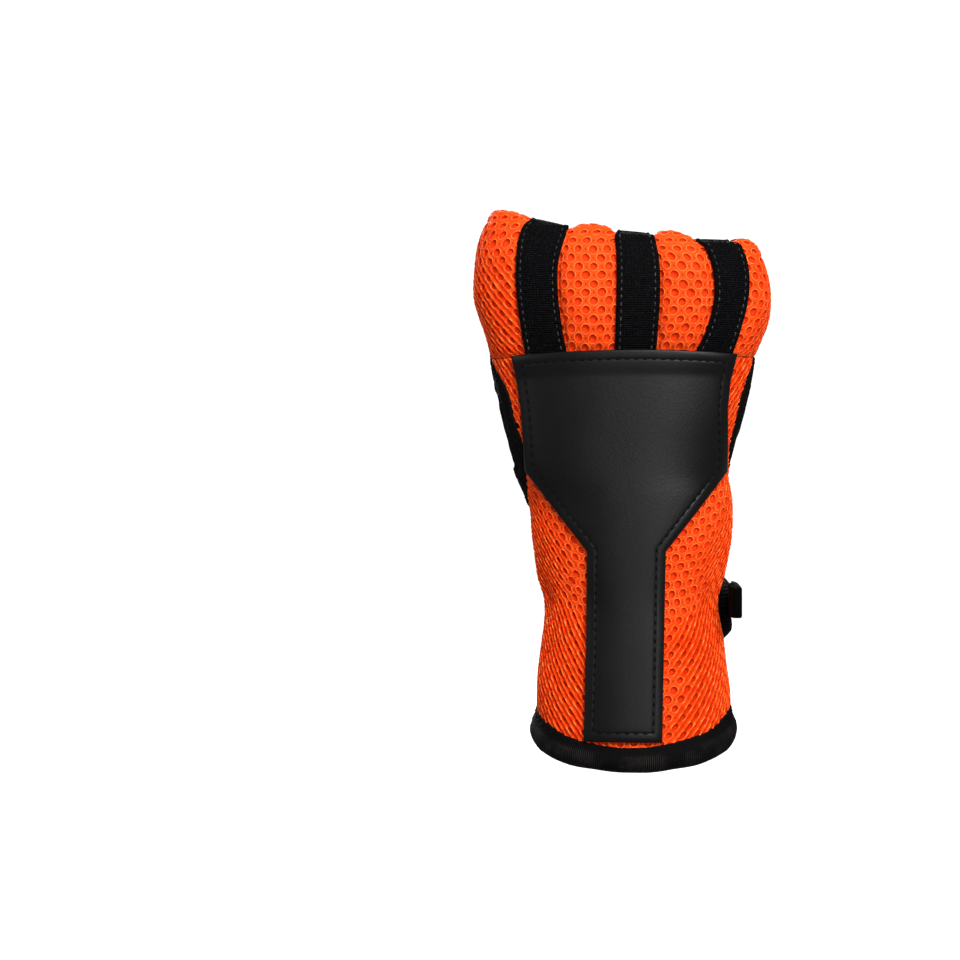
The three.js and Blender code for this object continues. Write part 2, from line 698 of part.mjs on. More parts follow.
// Elastic strap: up the groove, over the pad's top edge, down between two fingers to the palm band
function strap({ left, right, web_x: webX, palm_angle: palmAngle, web_width: webWidth }) {
  const sides = [left, right].map((side) => STRAP_SIDES.indexOf(side));
  const centres = [];
  const crossings = [];
  const widths = [];
  const climb = 12;
  const middles = strapAngles(196);
  const middle = (middles[sides[0]] + middles[sides[1]]) / 2;
  const top = padTopLine(middle);
  for (let i = 0; i <= climb; i += 1) {
    const z = mix(PAD_BOTTOM + 1.4, top - 0.8, i / climb);
    const [from, to] = sides.map((side) => strapAngles(z)[side]);
    const steep = (angle) => Math.hypot(1, grooveWall(angle, z - 0.5) - grooveWall(angle, z + 0.5));
    const height = (angle) => grooveWall(angle, z) + (GAP + ELASTIC / 2) * steep(angle);
    const a = lay(from, z, height(from));
    const b = lay(to, z, height(to));
    centres.push(lay((from + to) / 2, z, height((from + to) / 2)));
    crossings.push(b.clone().sub(a).normalize());
    widths.push(a.distanceTo(b) - 1);
  }
  const palmTop = lookup([...LITTLE_WRAP, ...PALM_SPAN].map(({ angle, low, z }) => ({ angle, z: z ?? low })),
    'angle', 'z', palmAngle < 0 ? palmAngle + 360 : palmAngle);
  const palm = lay(palmAngle, palmTop, MESH_WALL / 2);
  const [rimLeft, rimRight] = sides.map((side) => lay(middles[side], padTopLine(middles[side]), MESH_WALL));
  const sloped = rimRight.sub(rimLeft).normalize();
  const rim = lay(middle, top, grooveWall(middle, top));
  const inside = lay(middle, top, 0);
  const level = new THREE.Vector3(1, 0, 0);
  const over = [
    { x: rim.x, y: rim.y - 0.3, z: top + 1.5, width: 1, across: sloped },
    { x: rim.x, y: rim.y + 2, z: top + 2.2, width: 0.95, across: sloped },
    { x: mix(inside.x, webX, 0.2), y: inside.y + 0.4, z: top + 1.8, width: 0.85, across: sloped },
    { x: mix(inside.x, webX, 0.6), y: inside.y + 3.2, z: top - 2, width: 0.6, across: level },
    { x: webX, y: mix(inside.y, palm.y, 0.5), z: mix(top, palmTop, 0.5), width: 0.42, across: level },
    { x: mix(webX, palm.x, 0.6), y: palm.y - 4, z: palmTop + 4.5, width: 0.4, across: level },
    { x: palm.x, y: palm.y - 0.6, z: palmTop + 0.9, width: 0.4, across: level },
  ];
  for (const { x, y, z, width, across } of over) {
    centres.push(new THREE.Vector3(x, y, z));
    crossings.push(across);
    widths.push(Math.max(webWidth, widths[climb] * width));
  }
  const rings = centres.map((centre, i) => {
    const after = centres[Math.min(i + 1, centres.length - 1)];
    const before = centres[Math.max(i - 1, 0)];
    const along = after.clone().sub(before).normalize();
    const normal = new THREE.Vector3().crossVectors(along, crossings[i]).normalize();
    const half = widths[i] / 2;
    const corners = [
      [-half, -ELASTIC / 2],
      [half, -ELASTIC / 2],
      [half, ELASTIC / 2],
      [-half, ELASTIC / 2],
    ];
    return corners.map(([across, out]) =>
      centre.clone().addScaledVector(crossings[i], across).addScaledVector(normal, out),
    );
  });
  return ringSolid(rings);
}

function backPatch() {
  const net = { places: [], quads: [] };
  const extra = GAP + LEATHERETTE;
  const place = (row, column) => {
    const z = BACK_PATCH_ROWS[row];
    const left = lookupStraight(BACK_PATCH, 'z', 'left', z);
    const right = lookupStraight(BACK_PATCH, 'z', 'right', z);
    const [from, to] = [angleAt(left, z, extra), angleAt(right, z, extra)];
    return { angle: mix(from, to, column / (BACK_PATCH_COLUMNS - 1)), z };
  };
  addGrid(net, BACK_PATCH_ROWS.length, BACK_PATCH_COLUMNS, place);
  const under = ({ angle, z }) => grooveWall(angle, z) + GAP + BINDING_PROUD;
  return sheetSolid(
    net,
    (spot) => lay(spot.angle, spot.z, under(spot) + LEATHERETTE),
    (spot) => lay(spot.angle, spot.z, under(spot)),
  );
}

function flapPatch() {
  const net = { places: [], quads: [] };
  const place = (row, column) => {
    const share = column / (FLAP_PATCH_COLUMNS - 1);
    const middle = mix(FLAP_PATCH.z_start, FLAP_PATCH.z_end, share);
    const rise = (row / (FLAP_PATCH_ROWS - 1) - 0.5) * FLAP_PATCH.height;
    return { angle: mix(FLAP_PATCH.start, FLAP_PATCH.end, share), z: middle + rise };
  };
  addGrid(net, FLAP_PATCH_ROWS, FLAP_PATCH_COLUMNS, place);
  const under = (angle) => flapLift(angle) + MESH_WALL + GAP;
  return sheetSolid(
    net,
    ({ angle, z }) => lay(angle, z, under(angle) + LEATHERETTE),
    ({ angle, z }) => lay(angle, z, under(angle)),
  );
}

function pullTab() {
  const curve = new THREE.CatmullRomCurve3(TAB_LINE.map(({ x, y }) => new THREE.Vector3(x, y, TAB_MIDDLE)));
  const count = 24;
  const rings = [];
  for (let i = 0; i <= count; i += 1) {
    const centre = curve.getPoint(i / count);
    const along = curve.getTangent(i / count);
    const out = new THREE.Vector3(-along.y, along.x, 0).multiplyScalar(WEBBING / 2);
    const reach = clamp((6.6 - centre.y) / 22, 0, 1);
    const half = mix(TAB_BASE_HEIGHT, TAB_END_HEIGHT, reach) / 2;
    rings.push([
      centre.clone().add(out).setZ(TAB_MIDDLE - half),
      centre.clone().add(out).setZ(TAB_MIDDLE + half),
      centre.clone().sub(out).setZ(TAB_MIDDLE + half),
      centre.clone().sub(out).setZ(TAB_MIDDLE - half),
    ]);
  }
  return ringSolid(rings);
}

const glove = new THREE.Group();

function add(name, geometry, color, roughness) {
  const material = new THREE.MeshStandardMaterial({ color, roughness, metalness: 0 });
  const mesh = new THREE.Mesh(geometry, material);
  mesh.name = name;
  glove.add(mesh);
}

const ORANGE_MESH = 0xf55a25;
const BLACK_TAPE = 0x101011;
const DARK_LEATHERETTE = 0x2a2b2b;

const sleeve = sleeveNet();
const pad = padNet();
add('mesh_body', meshBody(sleeve), ORANGE_MESH, 0.85);
add('knuckle_pad', knucklePad(pad), ORANGE_MESH, 0.85);
for (const row of STRAPS) {
  add(row.name, strap(row), BLACK_TAPE, 0.9);
}
add('palm_binding', palmBinding(sleeve, pad), BLACK_TAPE, 0.9);
add('flap_binding', flapBinding(sleeve), BLACK_TAPE, 0.9);
add('wrist_hem', wristHem(sleeve), BLACK_TAPE, 0.9);
add('index_edging', indexEdging(pad), BLACK_TAPE, 0.9);
add('little_edging', littleEdging(pad), BLACK_TAPE, 0.9);
add('back_patch', backPatch(), DARK_LEATHERETTE, 0.55);
add('flap_patch', flapPatch(), DARK_LEATHERETTE, 0.55);
add('pull_tab', pullTab(), BLACK_TAPE, 0.9);

export default glove;
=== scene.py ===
import math

import bpy
import numpy as np
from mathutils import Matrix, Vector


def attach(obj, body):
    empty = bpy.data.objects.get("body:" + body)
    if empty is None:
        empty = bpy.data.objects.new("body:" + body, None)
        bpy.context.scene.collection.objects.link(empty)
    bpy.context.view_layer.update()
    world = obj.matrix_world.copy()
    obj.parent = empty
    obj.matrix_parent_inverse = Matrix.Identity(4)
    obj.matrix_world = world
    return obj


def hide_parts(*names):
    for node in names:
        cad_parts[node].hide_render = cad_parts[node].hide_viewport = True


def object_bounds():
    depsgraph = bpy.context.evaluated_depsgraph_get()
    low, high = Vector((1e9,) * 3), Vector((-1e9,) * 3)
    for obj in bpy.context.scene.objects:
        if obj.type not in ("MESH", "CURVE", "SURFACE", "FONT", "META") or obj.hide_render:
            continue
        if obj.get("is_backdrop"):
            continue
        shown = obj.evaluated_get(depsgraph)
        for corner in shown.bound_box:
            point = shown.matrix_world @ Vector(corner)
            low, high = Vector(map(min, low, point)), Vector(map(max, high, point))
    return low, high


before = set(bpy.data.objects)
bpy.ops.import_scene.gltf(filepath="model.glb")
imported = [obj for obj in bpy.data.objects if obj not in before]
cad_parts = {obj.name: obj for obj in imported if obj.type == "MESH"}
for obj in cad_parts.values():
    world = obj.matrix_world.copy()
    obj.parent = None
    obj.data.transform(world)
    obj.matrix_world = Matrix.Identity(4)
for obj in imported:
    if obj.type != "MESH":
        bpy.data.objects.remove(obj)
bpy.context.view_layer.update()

# The sleeve is one cut of spacer mesh, a warp-knitted polyester cloth 3 mm thick with round holes
# in its outer face and a closed face behind them. It covers the back of the hand, leaves the palm
# and the thumb open, and wraps round the wrist as a flap over an underlap.


def table(names, *rows):
    """A table with named columns, a row for each place."""
    return np.array(list(rows), dtype=[(name, float) for name in names.split()])


# The sleeve's inner face at each height: its sides, its depths to the back and to the palm, and the
# exponent of its superellipse
SLEEVE = table(
    "z left right back palm square",
    (0, -32.2, 31.4, 22.5, 22.5, 2.3), (16, -32.3, 31.4, 22, 22, 2.3),
    (31, -32.4, 30.8, 21, 21.5, 2.3), (47, -30.6, 28.8, 20, 20.5, 2.3),
    (62, -29.2, 26.4, 19, 19.5, 2.3), (72, -32.2, 29, 19, 20, 2.3),
    (84, -33.7, 31.3, 19, 20.5, 2.4), (98, -35.5, 32, 18.5, 20.5, 2.4),
    (108, -39.8, 30.6, 18, 20, 2.5), (118, -42.8, 32.3, 17.7, 19, 2.5),
    (129, -45, 35.5, 17.5, 17.5, 2.5), (143, -47.3, 38.6, 17, 15.5, 2.5),
    (151, -48.4, 39.7, 16.5, 14, 2.5), (161, -48.4, 40.6, 16, 12.8, 2.5),
    (172, -48.4, 41.3, 15, 11.5, 2.5), (184, -48.4, 41.4, 14, 10.5, 2.5),
    (202, -48.4, 41.4, 12.5, 9.5, 2.5),
)


def cubic(at, x, y):
    """A cubic through points, with the slope at each that of the line from the one before it to
    the one after it."""
    last = len(x) - 1
    before, after = np.maximum(np.arange(last + 1) - 1, 0), np.minimum(np.arange(last + 1) + 1, last)
    slope = (y[after] - y[before]) / (x[after] - x[before])
    at = np.clip(at, x[0], x[-1])
    i = np.clip(np.searchsorted(x, at, side="right") - 1, 0, last - 1)
    span = x[i + 1] - x[i]
    t = (at - x[i]) / span
    start = (2 * t**3 - 3 * t**2 + 1) * y[i] + (t**3 - 2 * t**2 + t) * span * slope[i]
    end = (3 * t**2 - 2 * t**3) * y[i + 1] + (t**3 - t**2) * span * slope[i + 1]
    return start + end


def along(rows, at, column=None):
    """Reads a column of a table, its second if none is named, at any value of its first."""
    names = rows.dtype.names
    x, y = rows[names[0]], rows[column or names[1]]
    return cubic(at, x, y) if x[0] < x[-1] else cubic(at, x[::-1], y[::-1])


def smooth(share):
    """0 to 1 with level ends: three times the square less twice the cube."""
    share = np.clip(share, 0, 1)
    return share * share * (3 - 2 * share)


def lay(angle, z, height):
    """A point at a height above the hand, in mm. The section is two half superellipses, one to the
    back and one to the palm, and the height goes out along the section's normal. Angle 0 is the
    middle of the back, 90 the little finger side, 180 or -180 the palm and -90 the thumb side."""
    angle, z, height = np.broadcast_arrays(angle, z, height)
    left, right = along(SLEEVE, z, "left"), along(SLEEVE, z, "right")
    square = along(SLEEVE, z, "square")
    side, front = np.sin(np.radians(angle)), -np.cos(np.radians(angle))
    depth = np.where(front < 0, along(SLEEVE, z, "back"), along(SLEEVE, z, "palm"))
    half = (right - left) / 2
    reach = (np.abs(side) ** square + np.abs(front) ** square) ** (-1 / square)
    out_x = np.sign(side) * np.abs(side * reach) ** (square - 1) / half
    out_y = np.sign(front) * np.abs(front * reach) ** (square - 1) / depth
    length = np.hypot(out_x, out_y)
    x = (left + right) / 2 + half * side * reach + height * out_x / length
    y = depth * front * reach + height * out_y / length
    return np.stack([x, y, z], axis=-1)


# Edges of the cloth: the angle goes round the hand in degrees, z up from the wrist opening in mm.
# The hem has its own top and bottom, and the thumb's and the little finger's edges pass the palm.
HEM_LINE = table(
    "angle top bottom",
    (-147, 19.4, 10.6), (-126, 21, 12.2), (-105, 22.6, 12), (-84, 22.8, 9.6), (-66, 19.6, 7.4),
    (-45, 15, 4.8), (-22, 12, 3), (0, 11, 2.4), (22, 12.6, 3.2), (45, 16, 5.4), (66, 20.8, 8.2),
    (86, 24.4, 11), (106, 21, 9.6), (130, 14.4, 4.8), (150, 12.4, 3), (168, 13.4, 4.4),
    (186, 16, 7), (206, 18.6, 9.8),
)
THUMB_EDGE = table(
    "z angle",
    (98, -90), (102, -73), (108, -60), (117, -57), (128, -61), (140, -66), (150, -90),
)
LITTLE_EDGE = table("z angle", (104, 90), (110, 79), (118, 71.5), (130, 69), (142, 72), (150, 90))
FLAP_TOP = table(
    "angle z",
    (-90, 98), (-110, 96.3), (-126, 94.3), (-139, 91.6), (-156, 88), (-167, 85), (-183, 80.2),
    (-200, 74.4), (-217, 69), (-232, 65), (-247, 62),
)
FLAP_LOW = table(
    "angle z",
    (-147, 19.4), (-156, 24), (-167, 28.5), (-183, 35), (-200, 42), (-217, 48), (-232, 52.5),
    (-247, 57),
)
UNDERLAP_TOP = table(
    "angle z",
    (90, 104), (100, 100.8), (115, 97.2), (132, 92.3), (150, 87.6), (168, 82), (182, 76),
    (196, 66),
)

# Angles where the flap leaves the hem, where it ends and where the underlap ends, and of the sides
FLAP_CORNER, FLAP_END, UNDERLAP_END, SIDE = -147, -247, 196, 90.0

# Heights up to which the cloth wraps round the wrist and above which the thumb and the palm are
# open, and those of the seam to the pad and of the narrowest place of the wrist
WING_TOP, THUMB_NOTCH, LITTLE_NOTCH, SEAM_Z, WAIST_Z = 112, 98, 104, 149.9, 66

# The cloth's thickness, how high the flap lies and in how many degrees it gets there, and how far
# past a cut, in mm and in degrees, a cell's middle may be
CLOTH, FLAP_LIFT, LIFT_ROUND = 3.0, 4.8, 58
SLEEVE_PAST_Z, SLEEVE_PAST_ANGLE = 2.3, 3.8


def flap_lift(angle):
    """The flap rises off the hand from the thumb side on, to lie over the underlap."""
    return FLAP_LIFT * smooth((-SIDE - angle) / LIFT_ROUND)


def sleeve_low(angle):
    """Lower edge of the cloth: on the hem, and from the flap's corner on the flap's own edge."""
    free = along(FLAP_LOW, np.maximum(angle, FLAP_END))
    return np.where(angle < FLAP_CORNER, free, along(HEM_LINE, angle, "top"))


def sleeve_high(angle):
    """Upper edge of the cloth past the sides of the hand."""
    return np.where(angle < 0, along(FLAP_TOP, angle), along(UNDERLAP_TOP, angle))


def sleeve_sides(z):
    """First and last angle of the cloth where the palm and the thumb are open."""
    thumb = np.where(z > THUMB_NOTCH, along(THUMB_EDGE, z), -400)
    little = np.where(z > LITTLE_NOTCH, along(LITTLE_EDGE, z), 400)
    return thumb, little


def on_wing(angle, z):
    """True past the sides of the hand, where the cloth wraps round the wrist."""
    return (np.abs(angle) > SIDE) & (z < WING_TOP)


def in_sleeve(angle, z):
    """True where a cell's middle is on the cloth, or so near that part of the cell is on it."""
    thumb, little = sleeve_sides(z)
    high = np.where(on_wing(angle, z), sleeve_high(angle), SEAM_Z)
    inside = (z > sleeve_low(angle) - SLEEVE_PAST_Z) & (z < high + SLEEVE_PAST_Z)
    inside &= angle > np.maximum(thumb, FLAP_END) - SLEEVE_PAST_ANGLE
    return inside & (angle < np.minimum(little, UNDERLAP_END) + SLEEVE_PAST_ANGLE)


def kept_in_sleeve(angle, z):
    """Moves a point that would pass the cloth's cut edge onto it."""
    angle = np.clip(angle, FLAP_END, UNDERLAP_END)
    wing = on_wing(angle, z)
    thumb, little = sleeve_sides(z)
    angle = np.where(wing, angle, np.clip(angle, thumb, little))
    return angle, np.clip(z, sleeve_low(angle), np.where(wing, sleeve_high(angle), SEAM_Z))


# The pad's top line, how its foam swells from the seam, at share 0, to the top, and how deep the
# foam is round the hand
PAD_TOP = table(
    "angle z",
    (-149, 184), (-135, 186), (-120, 189.5), (-105, 195.5), (-90, 199.8), (-76, 201.4), (-55, 201),
    (-40, 198.4), (-28, 195.9), (-11, 195), (6, 193.1), (18, 192.7), (37, 190.6), (52, 191.2),
    (66, 190.2), (80, 186.2), (90, 181.5), (102, 177.5), (115, 176.5), (130, 177.2), (141, 177.7),
)
PAD_SWELL = table(
    "share swell",
    (-0.16, 0), (0, 0.16), (0.1, 0.42), (0.22, 0.68), (0.4, 0.93), (0.56, 1), (0.68, 0.97),
    (0.82, 0.77), (0.93, 0.5), (1, 0.24),
)
PAD_DEPTH = table(
    "angle depth",
    (-150, 0), (-120, 1.4), (-90, 2.9), (-60, 5.6), (-30, 7), (0, 7.4), (30, 6.4), (60, 3.6),
    (90, 0.6), (150, 0),
)

# Height of the pad's lower edge, and how deep the seam there is drawn in
PAD_BOTTOM, SEAM_DIP = 150.0, 0.08


def groove_wall(angle, z):
    """Thickness of cloth and foam under the straps: it swells up the pad and thins to its sides."""
    share = (z - PAD_BOTTOM) / (along(PAD_TOP, angle) - PAD_BOTTOM)
    depth = along(PAD_DEPTH, angle)
    return CLOTH + along(PAD_SWELL, share) * depth


def soft_folds(angle, z):
    """Low soft folds of worn cloth, in mm: a few slanting waves, and creases that fan out from the
    narrowest place at each side of the wrist."""
    turn = np.radians(angle)
    waves = 0.16 * np.sin(7 * turn + 0.13 * z) * np.sin(0.11 * z - 2 * turn + 1.3)
    waves = waves + 0.1 * np.sin(14 * turn - 0.29 * z + 2.1)
    side = np.exp(-(((np.abs(angle) - 84) / 26) ** 2))
    up = z - WAIST_Z
    fan = np.arctan2((84 - np.abs(angle)) * 0.62, up - np.where(up > 0, -26, 26))
    creases = 0.55 * side * np.sin(13 * fan) * np.exp(-((up / 34) ** 2))
    return waves + creases * (np.abs(angle) < 125)


def sleeve_surface(angle, z, height):
    """Outer face of the sleeve, plus a height. It dips at the seam that joins it to the pad."""
    wall = groove_wall(np.clip(angle, -SIDE, SIDE), z) - SEAM_DIP * np.exp(-((z - SEAM_Z) ** 2))
    return lay(angle, z, flap_lift(angle) + wall + soft_folds(angle, z) + height)


def sleeve_lining(angle, z):
    """Inner face of the sleeve."""
    return lay(angle, z, flap_lift(angle))


def gone_along(points):
    """How far along a line of points each of them lies: the sum of the steps up to it."""
    return np.concatenate([[0], np.cumsum(np.linalg.norm(np.diff(points, axis=0), axis=-1))])


def evened(wall, angles, levels):
    """How to find the angle from a share of the way round the cloth, 0 at -90 and 1 at 90: at each
    level the length along the cloth is summed and turned round into angles at even shares. wall
    gives how high over the hand the cloth's face lies."""
    level, angle = np.meshgrid(levels, angles, indexing="ij")
    shares = np.linspace(-1.2, 2.2, 681)
    back = []
    for line in lay(angle, level, wall(angle, level)):
        gone = gone_along(line)
        start, end = np.interp([-SIDE, SIDE], angles, gone)
        back.append(np.interp(shares, (gone - start) / (end - start), angles))
    return shares, levels, np.array(back)


def angle_at_share(evening, share, z):
    """Reads the table of evened() between its shares and levels."""
    shares, levels, back = evening
    column = np.clip((share - shares[0]) / (shares[1] - shares[0]), 0, len(shares) - 1.001)
    row = np.clip(np.interp(z, levels, np.arange(len(levels))), 0, len(levels) - 1.001)
    i, j = column.astype(int), row.astype(int)
    s, t = column - i, row - j
    low = back[j, i] * (1 - s) + back[j, i + 1] * s
    high = back[j + 1, i] * (1 - s) + back[j + 1, i + 1] * s
    return low * (1 - t) + high * t


def sleeve_wall(angle, z):
    """Height of the sleeve's outer face over the hand, without its swell and its folds."""
    return CLOTH + flap_lift(angle)


sleeve_evening = evened(sleeve_wall, np.linspace(-262, 212, 475), np.linspace(2, 152, 76))

# Holes of the sleeve: how far apart in a row and from row to row, how many there are from side to
# side over the back, and their radius
SLEEVE_PITCH, SLEEVE_ROW, SLEEVE_ROUND, SLEEVE_HOLE = 4.5, 3.1, 21.0, 1.26


def sleeve_place(x, y):
    """Where a point of the flat cloth lies: columns keep even shares of the way round and close up
    at the sides of the wrist, where the cloth is pulled, and rows rise in a bell curve there."""
    z = y + 0.35 * np.sin(0.19 * x + 0.5) + 0.3 * np.sin(0.11 * x + 0.16 * y)
    over_back = SLEEVE_ROUND * SLEEVE_PITCH
    off = (np.abs(x) / (over_back / 2) - 1) / 0.42
    pull = off * np.exp(-(off**2)) * np.exp(-(((z - 52) / 62) ** 2))
    pull = pull * np.where(z < WAIST_Z, 0.3, -0.15)
    x = x + np.sign(x) * pull * (z - WAIST_Z)
    z = z + 7 * np.exp(-(((np.abs(x) - 48) / 20) ** 2))
    share = 0.5 + x / over_back
    return angle_at_share(sleeve_evening, share, z), z


def pulled(angle, z):
    """How far the cloth is drawn into slanting strands toward the sides of the wrist: 1 where they
    fall to the left, -1 where they fall to the right, 0 where the holes stay round."""
    off = np.abs(np.abs(angle) - SIDE) + 5 * np.sin(0.21 * z + 1) + 6 * (angle > 0)
    reach = 58 + 26 * smooth((68 - z) / 20) - 18 * smooth((z - 88) / 12) * smooth((122 - z) / 12)
    turned = np.tanh((SIDE + 5 * np.sin(0.08 * z) - np.abs(angle)) / 4)
    thumb, little = sleeve_sides(z)
    inside = np.where(angle < 0, angle - thumb, little - angle)
    near_edge = 0.35 + 0.65 * smooth(inside / 14)
    return np.sign(angle) * smooth((reach - off) / 26) * turned * near_edge


def sleeve_holes(angle, z):
    """Long and short radius of a hole against a plain one, its tilt, and the pull at it."""
    pull = pulled(angle, z)
    much = np.abs(pull)
    return 1 + 0.08 * much, 1 - 0.46 * much, np.sign(pull) * STRAND_TILT, pull


# Strands of the pulled cloth: their spacing, their slant in radians and the step from one hole to
# the next along them. The yarn is laid round each hole with a width and a thickness, all in mm.
STRAND_PITCH, STRAND_TILT, HOLE_STEP = 1.82, 0.943, 3.83
RING_WIDE, YARN = 0.3, 0.42

# The five rings of a cell, from its edge to the floor of its hole: how high each stands, how far the
# pull takes it down, how much of the strands' wave it has, and how deep in the knit it counts
KNIT_RINGS = table(
    "height dip rope sunk",
    (0.1, 0, 0.36, 0.2), (0.06, 0, 0.36, 0.22), (0.36, 0.28, 0.3, 0), (0.04, 0.1, 0.12, 0.45),
    (-0.9, 0.1, 0, 1),
)


def bands(near, far):
    """Quads between two rings, or between two stacks of them. Each joins two neighbours on the near
    ring to the two beside them on the far one, as point numbers or as places on the cloth."""
    ways = [near, np.roll(near, -1, 1), np.roll(far, -1, 1), far]
    return np.stack(ways, 2).reshape(-1, 4, *near.shape[2:])


def knit(columns, rows, pitch, step, hole, finer, place, inside, kept, holes, surface, lining):
    """The cloth as cells, one to a hole, in staggered rows. Each cell is a hexagon, the points
    nearer to its hole than to any other. Round the hole a yarn stands up as a ring, and inside it
    the face falls over the rim to the floor. Its back face is the plain hexagon on the lining,
    and cut edges are closed by strips from face to lining. Where the hole's middle would be past
    the cut, the hole closes up. Gives a part for add_mesh: points, faces, each face corner's
    place in its cell at the sleeve's size of cell, which faces are lining, the depth of each point
    in the knit, and the pull at it."""
    rng = np.random.default_rng(7)
    i, j = np.meshgrid(np.arange(*columns), np.arange(*rows), indexing="ij")
    centre = np.stack([(i + 0.5 * (j % 2)) * pitch, j * step], axis=-1).reshape(-1, 2)
    middle = np.array(place(*centre.T))
    held = inside(*middle)
    centre, count = centre[held], held.sum()
    side = (step**2 - pitch**2 / 4) / (2 * step)
    peak = (step**2 + pitch**2 / 4) / (2 * step)
    slant = np.linspace((pitch / 2, side), (0, peak), finer + 2)
    half = np.concatenate([[(pitch / 2, -side)], slant, slant[-2:0:-1] * (-1, 1)])
    edge = np.concatenate([half, -half])
    size = len(edge)
    turn, reach = np.arctan2(edge[:, 1], edge[:, 0]), np.linalg.norm(edge, axis=-1)
    long, short, tilt, pull = (part[:, None] for part in holes(*middle[:, held]))
    radius = np.hypot(np.cos(turn - tilt) / long, np.sin(turn - tilt) / short) ** -1
    radius = hole * rng.uniform(0.88, 1.09, (count, 1)) * radius
    nudge = rng.uniform(-0.12, 0.12, (count, 1, 2)) * pitch / SLEEVE_PITCH
    out = np.stack([np.cos(turn), np.sin(turn)], axis=-1)
    rim = centre[:, None] + (radius + RING_WIDE)[..., None] * out
    rim = np.array(place(rim[..., 0], rim[..., 1]))
    moved = np.array(kept(*rim)) - rim
    past = np.hypot(moved[0] * 0.6, moved[1]).max(axis=1, keepdims=True)
    radius = radius * np.clip(1 - 0.9 * past, 0.1, 1)
    wides = (radius + 2 * RING_WIDE, radius + RING_WIDE, radius, 0.84 * radius)
    local = [np.broadcast_to(edge, (count, size, 2))]
    for wide, most in zip(wides, (0.95, 0.86, 0.77, 0.65)):
        local.append(nudge + np.minimum(wide, reach * most)[..., None] * out)
    corner = (centre[:, None] + edge).reshape(-1, 2)
    near = np.round(corner * 40).astype(int)
    _, first, shared = np.unique(near, axis=0, return_index=True, return_inverse=True)
    scale = np.array([SLEEVE_PITCH / pitch, SLEEVE_ROW / step])

    def crest(places):
        """The strands' wave at places in the cells: a cosine across the slant, times the pull."""
        x, y = (places * scale)[..., 0], (places * scale)[..., 1]
        off = x * math.sin(STRAND_TILT) - np.sign(pull) * y * math.cos(STRAND_TILT)
        return (np.abs(pull) * -np.cos(2 * np.pi / STRAND_PITCH * off)).reshape(-1)

    shared = shared.reshape(count, size)
    outer = corner[first]
    inner = [(centre[:, None] + ring).reshape(-1, 2) for ring in local[1:]]
    sizes = [len(outer)] + [count * size] * 4
    drawn = np.concatenate([pull[first // size, 0]] + [pull.repeat(size)] * 4)
    height, dip, rope, sunk = (
        np.repeat(KNIT_RINGS[name], sizes) for name in KNIT_RINGS.dtype.names
    )
    crests = np.concatenate([crest(local[0])[first], *map(crest, local[1:])])
    angle, z = kept(*place(*np.concatenate([outer, *inner]).T))
    face = surface(angle, z, height - np.abs(drawn) * dip + crests * rope)
    back = lining(angle[: len(outer)], z[: len(outer)])
    rings = np.arange(4 * count * size).reshape(4, count, size) + len(outer)
    ids = [shared, *rings]
    quads = [bands(*pair) for pair in zip(ids[:-1], ids[1:])]
    places = [bands(*pair) for pair in zip(local[:-1], local[1:])]
    side_from, side_to = shared.reshape(-1), np.roll(shared, -1, 1).reshape(-1)
    total = len(face) + len(back)
    cut = ~np.isin(side_from * total + side_to, side_to * total + side_from)
    a, b = side_from[cut], side_to[cut]
    strips = np.stack([b, a, a + len(face), b + len(face)], -1)
    many = np.concatenate([rings[3], (shared + len(face))[:, ::-1]])
    many_places = np.concatenate([local[4], np.broadcast_to(edge[::-1], (count, size, 2))])
    fours = np.concatenate(quads + [strips])
    four_places = np.concatenate(places + [np.zeros((len(strips), 4, 2))])
    is_lining = [np.arange(len(fours)) >= len(fours) - len(strips), np.arange(2 * count) >= count]
    scaled = [four_places * scale, many_places * scale]
    sunk = np.append(sunk, np.full(len(back), 0.5))
    drawn = np.append(drawn, np.zeros(len(back)))
    return np.concatenate([face, back]), [fours, many], scaled, is_lining, sunk, drawn


